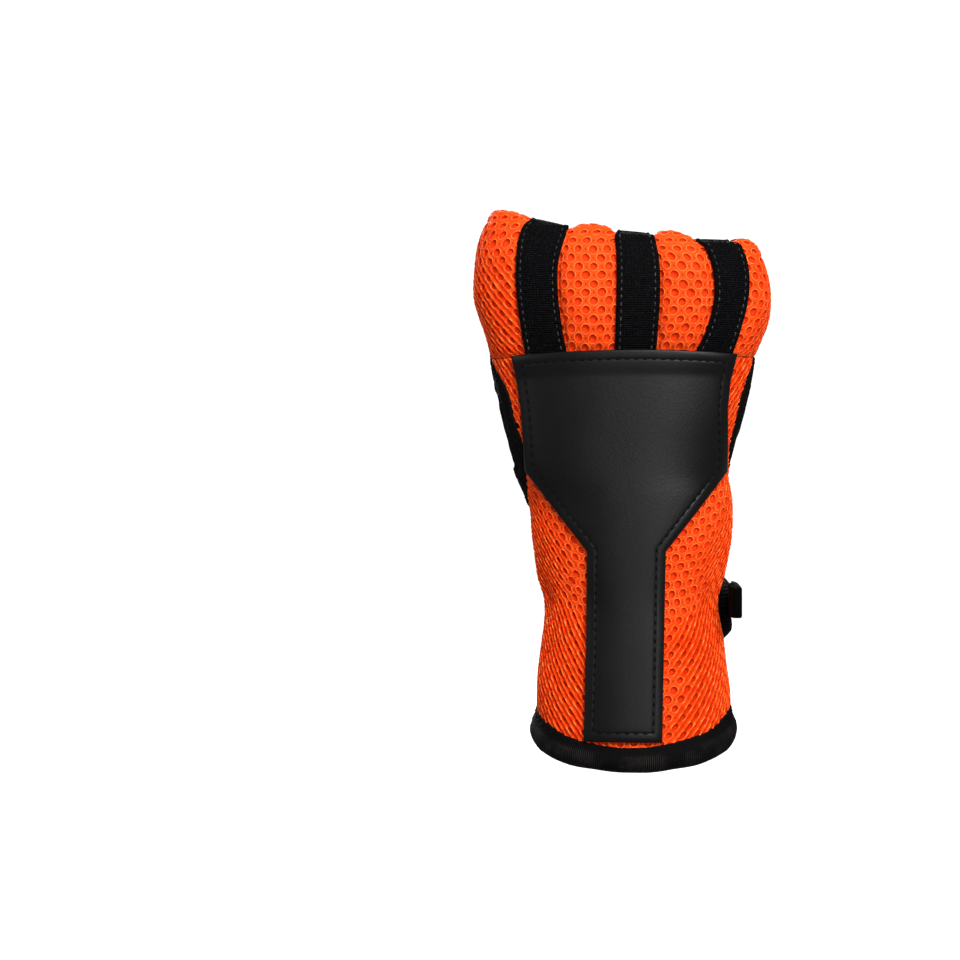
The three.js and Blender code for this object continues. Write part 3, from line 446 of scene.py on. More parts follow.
def add_mesh(name, materials, *parts):
    """A mesh object from closed parts. A part has its points in mm, arrays of faces, each face
    corner's place on the cloth in mm, its faces' material numbers, and for a knit the depth and
    the pull of its points. Its faces point outward: where the volume that they enclose is
    negative, all turn round."""
    all_points, ids, sizes, places, slots, knits = [], [], [], [], [], []
    count = 0
    for points, faces, corners, slot, *depth in parts:
        volume = 0.0
        for face in faces:
            for k in range(1, face.shape[1] - 1):
                a, b, c = points[face[:, 0]], points[face[:, k]], points[face[:, k + 1]]
                volume += (a * np.cross(b, c)).sum()
        way = -1 if volume < 0 else 1
        for i, face in enumerate(faces):
            ids.append((face[:, ::way] + count).reshape(-1))
            sizes.append(np.full(len(face), face.shape[1]))
            places.append(corners[i][:, ::way].reshape(-1, 2))
            slots.append(np.broadcast_to(slot[i] if isinstance(slot, list) else slot, len(face)))
        all_points.append(points)
        knits.append(np.stack(depth) if depth else np.zeros((2, len(points))))
        count += len(points)
    ids, sizes = np.concatenate(ids), np.concatenate(sizes)
    mesh = bpy.data.meshes.new(name)
    mesh.vertices.add(count)
    mesh.vertices.foreach_set("co", np.concatenate(all_points).reshape(-1) / 1000)
    mesh.loops.add(len(ids))
    mesh.loops.foreach_set("vertex_index", ids.astype(np.int32))
    mesh.polygons.add(len(sizes))
    mesh.polygons.foreach_set("loop_start", (np.cumsum(sizes) - sizes).astype(np.int32))
    mesh.polygons.foreach_set("use_smooth", np.ones(len(sizes), bool))
    mesh.polygons.foreach_set("material_index", np.concatenate(slots).astype(np.int32))
    mesh.uv_layers.new(name="cloth").data.foreach_set("uv", np.concatenate(places).reshape(-1))
    for key, values in zip(("sunk", "pull"), np.concatenate(knits, axis=1)):
        mesh.attributes.new(key, "FLOAT", "POINT").data.foreach_set("value", values)
    mesh.validate(clean_customdata=False)
    mesh.update()
    for material in materials:
        mesh.materials.append(material)
    piece = bpy.data.objects.new(name, mesh)
    bpy.context.scene.collection.objects.link(piece)
    return piece


def linear(color):
    """An sRGB hex colour as linear red, green, blue and alpha."""
    parts = [int(color[k : k + 2], 16) / 255 for k in (1, 3, 5)]
    return [c / 12.92 if c <= 0.04045 else ((c + 0.055) / 1.055) ** 2.4 for c in parts] + [1.0]


def add_node(tree, kind, inputs=(), **settings):
    """Adds a node. Its inputs come by name or number, or in their order. One given as a socket is
    linked to it, one given as a node to that node's first output in use, any other value is set."""
    made = tree.nodes.new("ShaderNode" + kind)
    for name, value in settings.items():
        setattr(made, name, value)
    for name, value in inputs.items() if isinstance(inputs, dict) else enumerate(inputs):
        if isinstance(value, bpy.types.Node):
            value = next(socket for socket in value.outputs if socket.enabled)
        if isinstance(value, bpy.types.NodeSocket):
            tree.links.new(value, made.inputs[name])
        else:
            made.inputs[name].default_value = value
    return made


def new_material(name, **surface):
    """A material with its Principled surface, whose sockets are set by name, and its node tree."""
    material = bpy.data.materials.new(name)
    material.use_nodes = True
    shader = material.node_tree.nodes["Principled BSDF"]
    for key, value in surface.items():
        shader.inputs[key.replace("_", " ")].default_value = value
    return material, material.node_tree, shader


def ripple(tree, place, pitch):
    """A sine wave over a place on the cloth, with one wave to a pitch, both in mm."""
    turn = add_node(tree, "Math", (place, math.tau / pitch), operation="MULTIPLY")
    return add_node(tree, "Math", (turn,), operation="SINE")


def cloth_places(tree):
    """How far along and how far across its cloth a place is, in mm."""
    cloth_map = add_node(tree, "UVMap", uv_map="cloth")
    return add_node(tree, "SeparateXYZ", (cloth_map,)).outputs[:2]


def dress(tree, shader, shade, dark, light, relief=None, strength=0.8, deep=0.15):
    """Ends a material: its colour goes from dark to light with the shade, and a bump, so many mm
    deep, follows its relief."""
    color = add_node(tree, "Mix", {0: shade, 6: linear(dark), 7: linear(light)}, data_type="RGBA")
    tree.links.new(color.outputs[2], shader.inputs["Base Color"])
    if relief:
        depth = deep / 1000
        bump = add_node(tree, "Bump", {"Strength": strength, "Distance": depth, "Height": relief})
        tree.links.new(bump.outputs[0], shader.inputs["Normal"])


# Knitted polyester spacer mesh: dyed orange yarn with a slight shine. The yarn round each hole is
# painted lighter as a highlight and the holes' walls darker as shade, a pinhole's shade is painted as
# a fine dark dot between neighbouring holes, and the closed face behind shows in their depth. Where
# the cloth is pulled, its yarns lie side by side as slanting strands, painted with highlights and
# glints on them and with shade in the gaps between them and in their narrow holes.
mesh_cloth, tree, shader = new_material(
    "knitted polyester spacer mesh",
    Roughness=0.55,
    IOR=1.5,
    Specular_IOR_Level=0.16,
    Specular_Tint=linear("#FFA868"),
)
cloth_map = add_node(tree, "UVMap", uv_map="cloth")
cell_x, cell_y, _ = add_node(tree, "SeparateXYZ", (cloth_map,)).outputs
sunk_here = add_node(tree, "Attribute", attribute_name="sunk").outputs["Fac"]
pull_here = add_node(tree, "Attribute", attribute_name="pull").outputs["Fac"]
on_piece = add_node(tree, "TexCoord").outputs["Object"]
blotch = add_node(tree, "TexNoise", {"Vector": on_piece, "Scale": 60, "Detail": 3, "Roughness": 0.55})
glints = add_node(tree, "TexNoise", {"Vector": on_piece, "Scale": 420, "Detail": 2, "Roughness": 0.5})
# By depth in the knit: a painted highlight on the yarn ring round each hole and painted shade down the
# holes' walls
depth_light_and_shade = add_node(tree, "ValToRGB", (sunk_here,))
# Noise breaks the ring's painted highlight up in patches, toward the plain face colour
dull_ring = add_node(tree, "MapRange", (glints, 0.38, 0.6, 0.6, 0))
on_face = add_node(tree, "MapRange", (sunk_here, 0.3, 0.5, 1, 0))
dulled = add_node(tree, "Math", (dull_ring, on_face), operation="MULTIPLY")
face_color = add_node(tree, "Mix", {0: dulled, 6: depth_light_and_shade, 7: linear("#EE4412")}, data_type="RGBA")

# A pinhole's shade painted as a dark dot between two holes of a row, half a cell to the side of each
across = add_node(tree, "Math", (cell_x,), operation="ABSOLUTE")
beside = add_node(tree, "Math", (across, SLEEVE_PITCH / 2), operation="SUBTRACT")
along_dot = add_node(tree, "Math", (cell_y, 0.55), operation="MULTIPLY")
dot_place = add_node(tree, "CombineXYZ", (beside, along_dot))
dot_far = add_node(tree, "VectorMath", (dot_place,), operation="LENGTH")
pinhole_shade = add_node(tree, "MapRange", (dot_far, 0.14, 0.4, 0.9, 0))
pinhole_shaded = add_node(tree, "Mix", {0: pinhole_shade, 6: face_color, 7: linear("#A82408")}, data_type="RGBA")

# Strands: a wave across them, painted lighter on their crests as highlight and darker in the gaps
# between them as shade, and painted glints that run along them from hole to hole
much_pull = add_node(tree, "Math", (pull_here,), operation="ABSOLUTE")
leaning = add_node(tree, "Math", (pull_here,), operation="SIGN")
wave_x, wave_y = math.sin(STRAND_TILT) * math.tau, math.cos(STRAND_TILT) * math.tau
upward = add_node(tree, "Math", (cell_y, -wave_y / STRAND_PITCH), operation="MULTIPLY")
leaned = add_node(tree, "Math", (upward, leaning), operation="MULTIPLY")
strand_turn = add_node(tree, "Math", (cell_x, wave_x / STRAND_PITCH, leaned), operation="MULTIPLY_ADD")
waver = add_node(tree, "Math", (blotch, 1.6, strand_turn), operation="MULTIPLY_ADD")
centred = add_node(tree, "Math", (waver, -0.8 - math.pi / 2))
strand = add_node(tree, "Math", (centred,), operation="SINE")
downward = add_node(tree, "Math", (cell_y, wave_x / HOLE_STEP), operation="MULTIPLY")
run_leaned = add_node(tree, "Math", (downward, leaning), operation="MULTIPLY")
run_turn = add_node(tree, "Math", (cell_x, wave_y / HOLE_STEP, run_leaned), operation="MULTIPLY_ADD")
dash = add_node(tree, "Math", (run_turn,), operation="COSINE")
glint_noise = add_node(tree, "Math", (glints, 2.6, -1.3), operation="MULTIPLY_ADD")
glinting = add_node(tree, "Math", (dash, 0.22, glint_noise), operation="MULTIPLY_ADD")
strand_light = add_node(tree, "Math", (strand, glinting), operation="ADD")
strand_light_and_shade = add_node(tree, "ValToRGB", (add_node(tree, "MapRange", (strand_light, -1.2, 1.5)),))
strand_seen = add_node(tree, "Math", (much_pull, on_face), operation="MULTIPLY")
stranded = add_node(tree, "Mix", {0: strand_seen, 6: pinhole_shaded, 7: strand_light_and_shade}, data_type="RGBA")
# Painted shade in the narrow holes of the pulled cloth: their walls and floors go dark red
deep = add_node(tree, "Math", (much_pull, strand_seen), operation="SUBTRACT")
slit_shaded = add_node(tree, "Mix", {0: deep, 6: stranded, 7: linear("#C42204")}, data_type="RGBA")
tone = add_node(tree, "MapRange", (blotch, 0.3, 0.7, 0.9, 1.05))
toned = add_node(tree, "HueSaturation", {"Value": tone, "Color": slit_shaded})
tree.links.new(toned.outputs["Color"], shader.inputs["Base Color"])
# Depth ramp: painted highlight on the ring, painted shade on the holes' walls, a plain floor
DEPTH_LIGHT_AND_SHADE = {0.1: "#FF6A2A", 0.2: "#F04A14", 0.45: "#DC3408", 0.75: "#B42002"}
# Strand ramp: from painted shade in the gaps up to painted highlight on the crests
STRAND_LIGHT_AND_SHADE = {0.28: "#DE3004", 0.56: "#F2400A", 0.76: "#FA581A", 0.88: "#FF702E"}
for ramp, first, last, between in (
    (depth_light_and_shade, "#FF904E", "#F03E12", DEPTH_LIGHT_AND_SHADE),
    (strand_light_and_shade, "#CA2404", "#FF8E4A", STRAND_LIGHT_AND_SHADE),
):
    stops = ramp.color_ramp.elements
    stops[0].color, stops[1].color = linear(first), linear(last)
    for place, color in between.items():
        stops.new(place).color = linear(color)

# Its relief: yarn laid round each hole, fuzz, and the strands
round_hole = add_node(tree, "VectorMath", (cloth_map,), operation="LENGTH")
thread = ripple(tree, round_hole.outputs["Value"], YARN)
fuzz = add_node(tree, "TexNoise", {"Vector": on_piece, "Scale": 2200, "Detail": 2})
relief = add_node(tree, "Math", (fuzz, 1.4, thread), operation="MULTIPLY_ADD")
strand_relief = add_node(tree, "Math", (strand, strand_seen), operation="MULTIPLY")
both = add_node(tree, "Math", (strand_relief, 4, relief), operation="MULTIPLY_ADD")
bump = add_node(tree, "Bump", {"Strength": 0.6, "Distance": 0.00012, "Height": both})
tree.links.new(bump.outputs["Normal"], shader.inputs["Normal"])

# The back face of the same mesh: a plain close knit, matt and a shade deeper.
lining_cloth, tree, shader = new_material("plain knit back of the spacer mesh", Roughness=0.8)
on_piece = add_node(tree, "TexCoord").outputs["Object"]
knit_loops = add_node(tree, "TexVoronoi", {"Vector": on_piece, "Scale": 1700})
dress(tree, shader, knit_loops, "#E4461C", "#C43812", knit_loops, strength=0.5, deep=0.2)

sleeve_is = sleeve_place, in_sleeve, kept_in_sleeve, sleeve_holes, sleeve_surface, sleeve_lining
sleeve_part = knit((-34, 34), (2, 50), SLEEVE_PITCH, SLEEVE_ROW, SLEEVE_HOLE, 1, *sleeve_is)
sleeve = add_mesh("sleeve_mesh", [mesh_cloth, lining_cloth], sleeve_part)
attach(sleeve, "root")
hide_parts("mesh_body")

# The knuckle pad is the same mesh over foam, sewn on across the back of the hand. The straps pull
# it down in three grooves, so that it stands up in a lobe over each knuckle. Its ends wrap round
# the index and the little finger.
INDEX_WRAP_LOW = table("angle z", (-90, 150), (-105, 155), (-120, 160.5), (-135, 166), (-149, 170))
LITTLE_WRAP_LOW = table("angle z", (90, 150), (102, 149.6), (115, 152), (130, 158), (141, 163))
PAD_START, PAD_END = -149, 141
STRAP_EDGES = table(
    "z left_1 right_1 left_2 right_2 left_3 right_3",
    (150, -38.8, -23, -7.8, 7.8, 19.6, 33.8), (160, -40.4, -24.9, -7.3, 8.7, 24.3, 37),
    (172, -41.9, -26.3, -7, 9.4, 26.7, 39.6), (184, -42.1, -26, -7, 9, 25.2, 39),
    (196, -40.2, -22.8, -7.9, 6.8, 19.5, 34.5), (203, -34.6, -22, -7.9, 6.8, 19.5, 34.5),
)

# How far a lobe rises and how far the pad's top line arches over it, the height where the straps'
# edges are read at the top, and the one where the lobes are read for the rim's radius
LOBE_RISE, LOBE_SCALLOP, STRAP_TOP, RIM_Z = 4.0, 2.2, 196.0, 195

# How far past the pad's edge, in mm and in degrees, a cell's middle may be
PAD_PAST_Z, PAD_PAST_ANGLE = 2.6, 3.6


def angle_at_x(x, z, extra):
    """Angle on the back of the hand where the wall, plus an extra height, has that x: the range
    from -90 to 90 is halved again and again."""
    x, z = np.broadcast_arrays(np.asarray(x, float), np.asarray(z, float))
    low, high = np.full(x.shape, -SIDE), np.full(x.shape, SIDE)
    for _ in range(24):
        middle = (low + high) / 2
        left = lay(middle, z, groove_wall(middle, z) + extra)[..., 0] < x
        low, high = np.where(left, middle, low), np.where(left, high, middle)
    return (low + high) / 2


edge_levels = np.linspace(150, 204, 55)
edge_places = [along(STRAP_EDGES, edge_levels, name) for name in STRAP_EDGES.dtype.names[1:]]
edge_angles = [angle_at_x(x, edge_levels, 0) for x in edge_places]


def strap_edge(which, z):
    """Angle of a strap's edge at a height."""
    return np.interp(z, edge_levels, edge_angles[which])


def lobe(angle, z):
    """0 on the straps and 1 in the middle of each lobe, with a blunt round top between."""
    made = 0.0 * angle
    edges = [-140, *(strap_edge(which, z) for which in range(6)), 132]
    for start, end in zip(edges[::2], edges[1::2]):
        off = np.clip((2 * angle - start - end) / (end - start), -1, 1)
        made = made + (1 - off * off) ** 0.55
    return made


def pad_low(angle):
    """Lower edge of the pad: level on the back, and rising along the palm band on its wraps."""
    low = np.where(angle > SIDE, along(LITTLE_WRAP_LOW, angle), PAD_BOTTOM)
    return np.where(angle < -SIDE, along(INDEX_WRAP_LOW, angle), low)


def pad_high(angle, z):
    """Upper edge of the pad, which arches over each knuckle."""
    arch = LOBE_SCALLOP * lobe(angle, z) * smooth((98 - np.abs(angle)) / 18)
    return along(PAD_TOP, angle) + arch


def pad_wall(angle, z):
    """Thickness of the pad: the groove's wall and the lobe's rise, which dies out at both ends."""
    share = np.clip((z - PAD_BOTTOM) / (along(PAD_TOP, angle) - PAD_BOTTOM), 0, 1)
    rise = LOBE_RISE * np.sin(np.pi * np.minimum(share, 0.97)) ** 0.5
    slim = smooth((np.abs(angle) - 56) / 22) * np.where(angle < 0, 0.85, 0.6)
    rise = rise * (1 - slim * (1 - smooth(share / 0.5)))
    return groove_wall(angle, z) + rise * lobe(angle, z)


def pad_rim(angle):
    """Radius of the round top over which the mesh turns to the inside, half the pad's wall there."""
    top = pad_high(angle, RIM_Z + 0 * angle)
    return pad_wall(angle, top - 2) / 2


def over_rim(angle, z):
    """The rim's radius, where it starts, and how far past its start a point of the cloth is, as an
    angle over the round: 0 on the face, half a turn on the inside."""
    radius = pad_rim(angle)
    start = pad_high(angle, z) - radius
    return radius, start, np.clip((z - start) / radius, 0, np.pi)


def pad_surface(angle, z, height):
    """Outer face of the pad, plus a height. It turns over the round top to the inside."""
    radius, start, turn = over_rim(angle, z)
    low = np.minimum(z, start)
    wall = np.where(turn > 0, radius * (1 + np.cos(turn)), pad_wall(angle, low))
    seam = -SEAM_DIP * np.exp(-((z - PAD_BOTTOM) ** 2))
    fade = np.clip(1 - turn / 2, 0, 1)
    up = low + (radius + height) * np.sin(turn)
    return lay(angle, up, wall + (soft_folds(angle, low) + seam) * fade + height * np.cos(turn))


def pad_lining(angle, z):
    """Inner face of the pad. Past the rim's start it stays in the middle of the wall."""
    radius, start, turn = over_rim(angle, z)
    up = np.minimum(z, start) + 0.4 * radius * np.sin(turn)
    return lay(angle, up, np.where(turn > 0, radius * (1 + 0.4 * np.cos(turn)), 0))


def in_pad(angle, z):
    """True where a cell's middle is on the pad, or so near that part of the cell is on it."""
    inside = (angle > PAD_START - PAD_PAST_ANGLE) & (angle < PAD_END + PAD_PAST_ANGLE)
    past = (np.pi - 1) * pad_rim(angle)
    return inside & (z > pad_low(angle) - PAD_PAST_Z) & (z < pad_high(angle, z) + past)


def kept_in_pad(angle, z):
    """Moves a point that would pass the pad's edge onto it."""
    angle = np.clip(angle, PAD_START, PAD_END)
    past = (np.pi - 1) * pad_rim(angle)
    return angle, np.clip(z, pad_low(angle), pad_high(angle, z) + past)


pad_evening = evened(pad_wall, np.linspace(-165, 160, 651), np.linspace(148, 204, 57))

# Holes of the pad, which are larger and farther apart
PAD_PITCH, PAD_ROW, PAD_ROUND, PAD_HOLE = 5.5, 3.15, 25.0, 1.42


def pad_holes(angle, z):
    """Round holes on the lobes, flatter ones where the cloth is drawn over the rim, and slanting
    strands at the two outer sides."""
    share = smooth((z - pad_high(angle, z) + 11) / 9)
    wrap = smooth((np.abs(angle) - 98) / 25)
    index = 0.85 * smooth((-36 - angle) / 16) * np.tanh((191 - z) / 12)
    little = 0.7 * np.exp(-(((angle - 78) / 20) ** 2)) * np.tanh((z - 172) / 8)
    pull = -(index + little) * (1 - share) * (1 - wrap)
    flat = np.maximum(share, 0.7 * wrap)
    level = flat > np.abs(pull)
    lean = math.atan2(PAD_ROW, PAD_PITCH / 2)
    tilt = np.where(level, 0.25 * wrap * np.sign(angle), np.sign(pull) * lean)
    short = 1 - np.maximum(0.55 * flat, 0.5 * np.abs(pull))
    return 1 + 0.08 * flat, short, tilt, np.where(level, 0, pull)


def pad_place(x, y):
    """Where a point of the pad's flat cloth lies: rows rise toward the middle of each knuckle."""
    z = PAD_BOTTOM + y + 0.3 * np.sin(0.17 * x + 0.4) + 0.25 * np.sin(0.13 * x - 0.2 * y)
    share = 0.5 + (x + 0.1 * (y - 20)) / (PAD_ROUND * PAD_PITCH)
    return angle_at_share(pad_evening, share, z), z


pad_is = pad_place, in_pad, kept_in_pad, pad_holes, pad_surface, pad_lining
pad_part = knit((-30, 30), (-1, 20), PAD_PITCH, PAD_ROW, PAD_HOLE, 2, *pad_is)
pad = add_mesh("knuckle_pad_mesh", [mesh_cloth, lining_cloth], pad_part)
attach(pad, "root")
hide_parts("knuckle_pad")


# The bindings are a ribbed polyester tape, folded over the cloth's cut edge and sewn through, with
# a round roll at the free side. One run goes up the underlap's hidden end, round the palm opening
# and down the thumb side, on along the flap's top, round its end, back to the hem and round it.
# Its section is given in mm past the edge and over the hand, and at the hem in shares of its depth.
PALM_SPAN = table("angle z", (146, 165), (160, 168.8), (176, 171.6), (192, 173), (206, 171.4))
TAPE_SECTION = table(
    "past high",
    (-0.9, 3), (-0.75, 3.75), (0.1, 4), (0.9, 3.7), (1.6, 3.9), (3, 3.95), (4.6, 3.9),
    (5.5, 3.6), (5.9, 3.15), (6.3, 3.5), (7, 3.9), (8, 3.95), (9, 3.55), (9.75, 2.8),
    (10.1, 1.8), (9.8, 0.6), (9, -0.3), (8, -0.6), (6.9, -0.5), (6.1, -0.1), (5.5, -0.4),
    (3.5, -0.5), (1.5, -0.5), (-0.3, -0.4), (-0.6, 0.1),
)
HEM_SECTION = table(
    "past high",
    (-0.05, 2.9), (-0.02, 3.5), (0.05, 3.8), (0.13, 3.75), (0.2, 4.1), (0.3, 4.7), (0.4, 5.3),
    (0.5, 5.6), (0.58, 5.7), (0.66, 5.65), (0.74, 5.4), (0.82, 4.9), (0.9, 4), (0.96, 2.9),
    (1, 1.5), (0.97, 0.1), (0.9, -1.1), (0.8, -1.9), (0.68, -2.35), (0.56, -2.5), (0.45, -2.4),
    (0.32, -1.9), (0.2, -1.1), (0.08, -0.5), (0, 0.1),
)

# The section's point where the stitches lie, and their spacing and length in mm
STITCH_LINE, STITCH_PITCH, STITCH_LENGTH = 3, 3.2, 2.0


def read_line(at, known, line, way=np.interp):
    """A line's points at new places between the known ones, straight or by another way."""
    return np.stack([way(at, known, column) for column in line.T], axis=-1)


def softened(points, reach):
    """Rounds a line's corners: each point becomes the mean of those up to so many places away."""
    padded = np.concatenate([points[:1].repeat(reach, 0), points, points[-1:].repeat(reach, 0)])
    total = np.cumsum(np.concatenate([0 * padded[:1], padded]), axis=0)
    return (total[2 * reach + 1 :] - total[: -2 * reach - 1]) / (2 * reach + 1)


def unit(vectors):
    """Vectors divided by their lengths."""
    return vectors / np.linalg.norm(vectors, axis=-1, keepdims=True)


def swept(rings, u, v, slot=0):
    """A closed part from rings of points, with flat ends. u is how far along each ring lies and v
    how far round its section each point lies, in mm, for the pattern."""
    count, size = rings.shape[:2]
    ids = np.arange(count * size).reshape(count, size)
    u, v = np.broadcast_to(u[:, None], ids.shape), np.broadcast_to(v, ids.shape)
    place = np.stack([u, v], axis=-1)
    ends, end_places = (np.stack([all_of[0, ::-1], all_of[-1]]) for all_of in (ids, place))
    quads, places = bands(ids[:-1], ids[1:]), bands(place[:-1], place[1:])
    return rings.reshape(-1, 3), [quads, ends], [places, end_places], slot


def stitches(path, normals, slot, pitch=STITCH_PITCH, length=STITCH_LENGTH, thick=0.3):
    """Stitches as short capsules that dip into the cloth at both ends, each a part of its own."""
    gone = gone_along(path)
    starts = np.arange(pitch / 2, gone[-1] - length, pitch)
    share = np.array([0, 0.12, 0.5, 0.88, 1])
    radius = thick * np.array([0.35, 0.8, 1, 0.8, 0.35])
    at = starts[:, None] + length * share
    normal = unit(read_line(at, gone, normals))
    middle = read_line(at, gone, path)
    middle = middle + normal * (thick * (1.1 * np.sin(np.pi * share) - 0.5))[:, None]
    ahead = unit(middle[:, -1:] - middle[:, :1])
    beside = np.cross(ahead, normal)
    turn = np.radians(np.arange(0, 360, 60))[:, None]
    ring = beside[:, :, None] * np.cos(turn) + normal[:, :, None] * np.sin(turn)
    rings = middle[:, :, None] + ring * radius[:, None, None]
    return [swept(one, np.zeros(len(share)), np.zeros(len(turn)), slot) for one in rings]


# The lifted angle of a place that isn't on the flap
NO_LIFT = 900.0


def on_edge(run, across, height, level):
    """Points of a section carried along a cloth edge: run has the angle, height and lifted angle
    of each place. across goes out past the edge over the cloth's surface, at right angles to the
    edge where level is 0, and straight down where it is 1. The cloth lies on the flap's lift at
    its lifted angle, or on none where that is NO_LIFT."""
    angle, z, lifted = run.T
    near, far = lay(angle - 1, z, CLOTH), lay(angle + 1, z, CLOTH)
    per_degree = np.linalg.norm(far - near, axis=-1) / 2
    ahead = unit(np.stack([np.gradient(angle) * per_degree, np.gradient(z)], axis=-1))
    ahead = unit(softened(ahead, 2))
    out_angle = (ahead[:, 1] / per_degree * (1 - level))[:, None]
    out_z = (-ahead[:, 0] * (1 - level) - level)[:, None]
    seen_from = np.clip((angle + 180) % 360 - 180, PAD_START, -PAD_START)
    edge_wall = groove_wall(seen_from, z) - CLOTH
    at_angle = angle[:, None] + out_angle * across
    at_z = z[:, None] + out_z * across
    lift = flap_lift(lifted[:, None] + out_angle * across)
    lift = np.where(lifted[:, None] < NO_LIFT, lift, 0)
    raised = edge_wall[:, None] * np.clip(height / CLOTH, 0, 1)
    return lay(at_angle, at_z, lift + height + raised + soft_folds(at_angle, at_z))


def run_of(rows, at):
    """A stretch of cloth edge read from its table: the angle and height of each place."""
    read = along(rows, at)
    return np.stack([at, read] if rows.dtype.names[0] == "angle" else [read, at], axis=-1)


# Up the underlap's end, along its top, the little finger's edge, the pad's wrap, the span between
# the wraps, the index finger's wrap and the thumb's edge
palm_run = np.concatenate([
    np.column_stack([np.full(12, UNDERLAP_END), np.linspace(22, 65, 12)]),
    run_of(UNDERLAP_TOP, np.linspace(UNDERLAP_END, SIDE, 60)),
    run_of(LITTLE_EDGE, np.linspace(105, 149, 30)),
    run_of(LITTLE_WRAP_LOW, np.linspace(SIDE, PAD_END, 30)),
    run_of(PALM_SPAN, np.linspace(146, 206, 30)),
    run_of(INDEX_WRAP_LOW, np.linspace(PAD_START, -SIDE, 30)) + (360, 0),
    run_of(THUMB_EDGE, np.linspace(149, 104, 30)) + (360, 0),
])

# Round the thumb's notch, along the flap's top, round its end, back along its lower edge and on
# round the hem
hem_run = run_of(HEM_LINE, np.linspace(-146, 205, 240))
flap_run = np.concatenate([
    run_of(THUMB_EDGE, [103.9, 101, 99]),
    run_of(FLAP_TOP, np.linspace(-SIDE, FLAP_END, 90)),
    np.column_stack([np.full(4, FLAP_END), np.linspace(61.5, 57.5, 4)]),
    run_of(FLAP_LOW, np.linspace(-246.5, -148, 60)),
    hem_run,
])

# The whole run at even steps, its corners rounded. A degree counts as 0.62 mm of cloth.
whole = np.concatenate([palm_run, flap_run + (360, 0)])
gone = gone_along(whole * (0.62, 1))
flap_from, hem_from = gone[len(palm_run)], gone[-len(hem_run)]
at = np.linspace(0, gone[-1], round(gone[-1] / 1.1) + 1)
even = softened(read_line(at, gone, whole), 2)
hem_angle = even[:, 0] - 360
tape_run = np.column_stack([even, np.where(at > flap_from, hem_angle, NO_LIFT)])

# The tape's section goes over into the hem's, which is as deep as the hem and thinner at its ends.
hemmed = smooth((at - hem_from + 9) / 18)[:, None]
hem_deep = along(HEM_LINE, hem_angle, "top") - along(HEM_LINE, hem_angle, "bottom")
hem_deep = hem_deep + 0.2 * np.sin(np.radians(11 * hem_angle)) * np.sin(np.radians(3 * hem_angle))
full = 0.56 + 0.44 * smooth((at - hem_from + 2) / 24) * smooth((at[-1] - at + 2) / 14)
full = np.maximum(full[:, None], HEM_SECTION["past"] < 0.25)
hem_heights = CLOTH / 2 + (HEM_SECTION["high"] - CLOTH / 2) * full
flap_end = smooth((-205 - tape_run[:, 2]) / 25) * (hemmed[:, 0] == 0)
past, high = TAPE_SECTION["past"], TAPE_SECTION["high"]
narrowed = past * (1 - 0.28 * flap_end[:, None] * (past > 1))
tape_across = narrowed * (1 - hemmed) + HEM_SECTION["past"] * hem_deep[:, None] * hemmed

# It is drawn in a little at each stitch, its roll is uneven, and it lies lower at the notches.
pucker = 0.1 * np.cos(2 * np.pi * at / STITCH_PITCH)[:, None]
near_stitch = np.exp(-(((past - 0.9) / 1.3) ** 2)) * (high > 2)
wobble = 0.12 * np.sin(at * 0.31)[:, None] + 0.06 * np.sin(at * 0.83 + 1)[:, None]
tape_heights = high * (1 - hemmed) + hem_heights * hemmed
tape_heights = tape_heights + pucker * near_stitch + wobble * (past > 5)
side_low = np.exp(-(((tape_run[:, 1] - 108) / 7) ** 2)) * (tape_run[:, 2] == NO_LIFT)
tape_heights = tape_heights - 0.8 * side_low[:, None] * (tape_heights > 2)
tape_rings = on_edge(tape_run, tape_across, tape_heights, hemmed[:, 0])
seam_across, seam_height = (part[:, STITCH_LINE, None] for part in (tape_across, tape_heights))
stitch_line = on_edge(tape_run, seam_across, seam_height, hemmed[:, 0])[:, 0]
over_line = on_edge(tape_run, seam_across, seam_height + 1, hemmed[:, 0])[:, 0]
first_cut, second_cut = np.searchsorted(at, (flap_from, hem_from))

# Ribbed polyester binding tape: a close black knit whose ribs show on the roll, their crests painted
# lighter there as a highlight, in patches.
binding_tape, tree, shader = new_material(
    "ribbed polyester binding tape", Roughness=0.75, IOR=1.5, Specular_IOR_Level=0.06
)
along_tape, round_tape = cloth_places(tree)
rib = ripple(tree, along_tape, 0.75)
on_roll = add_node(tree, "MapRange", (round_tape, 5.4, 6.4, 0.12, 1))
ribs = add_node(tree, "Math", (rib, on_roll), operation="MULTIPLY")
on_piece = add_node(tree, "TexCoord").outputs["Object"]
lint = add_node(tree, "TexNoise", {"Vector": on_piece, "Scale": 1800, "Detail": 3})
# Noise that breaks the ribs' painted highlight on the roll into patches
worn = add_node(tree, "TexNoise", {"Vector": on_piece, "Scale": 130, "Detail": 3})
rib_highlight_patches = add_node(tree, "MapRange", (worn, 0.4, 0.62, 0.1, 1))
# The rib crests on the roll are painted lighter: a painted highlight
rib_light = add_node(tree, "Math", (ribs, rib_highlight_patches), operation="MULTIPLY", use_clamp=True)
relief = add_node(tree, "Math", (lint, 0.9, ribs), operation="MULTIPLY_ADD")
dress(tree, shader, rib_light, "#030304", "#2A2625", relief)

# Spun polyester sewing thread, black and nearly matt.
sewing_thread, tree, shader = new_material(
    "spun polyester thread", Roughness=0.6, Specular_IOR_Level=0.05
)
on_piece = add_node(tree, "TexCoord").outputs["Object"]
fibres = add_node(tree, "TexNoise", {"Vector": on_piece, "Scale": 1500, "Detail": 2})
dress(tree, shader, fibres, "#020203", "#0E0E0F")

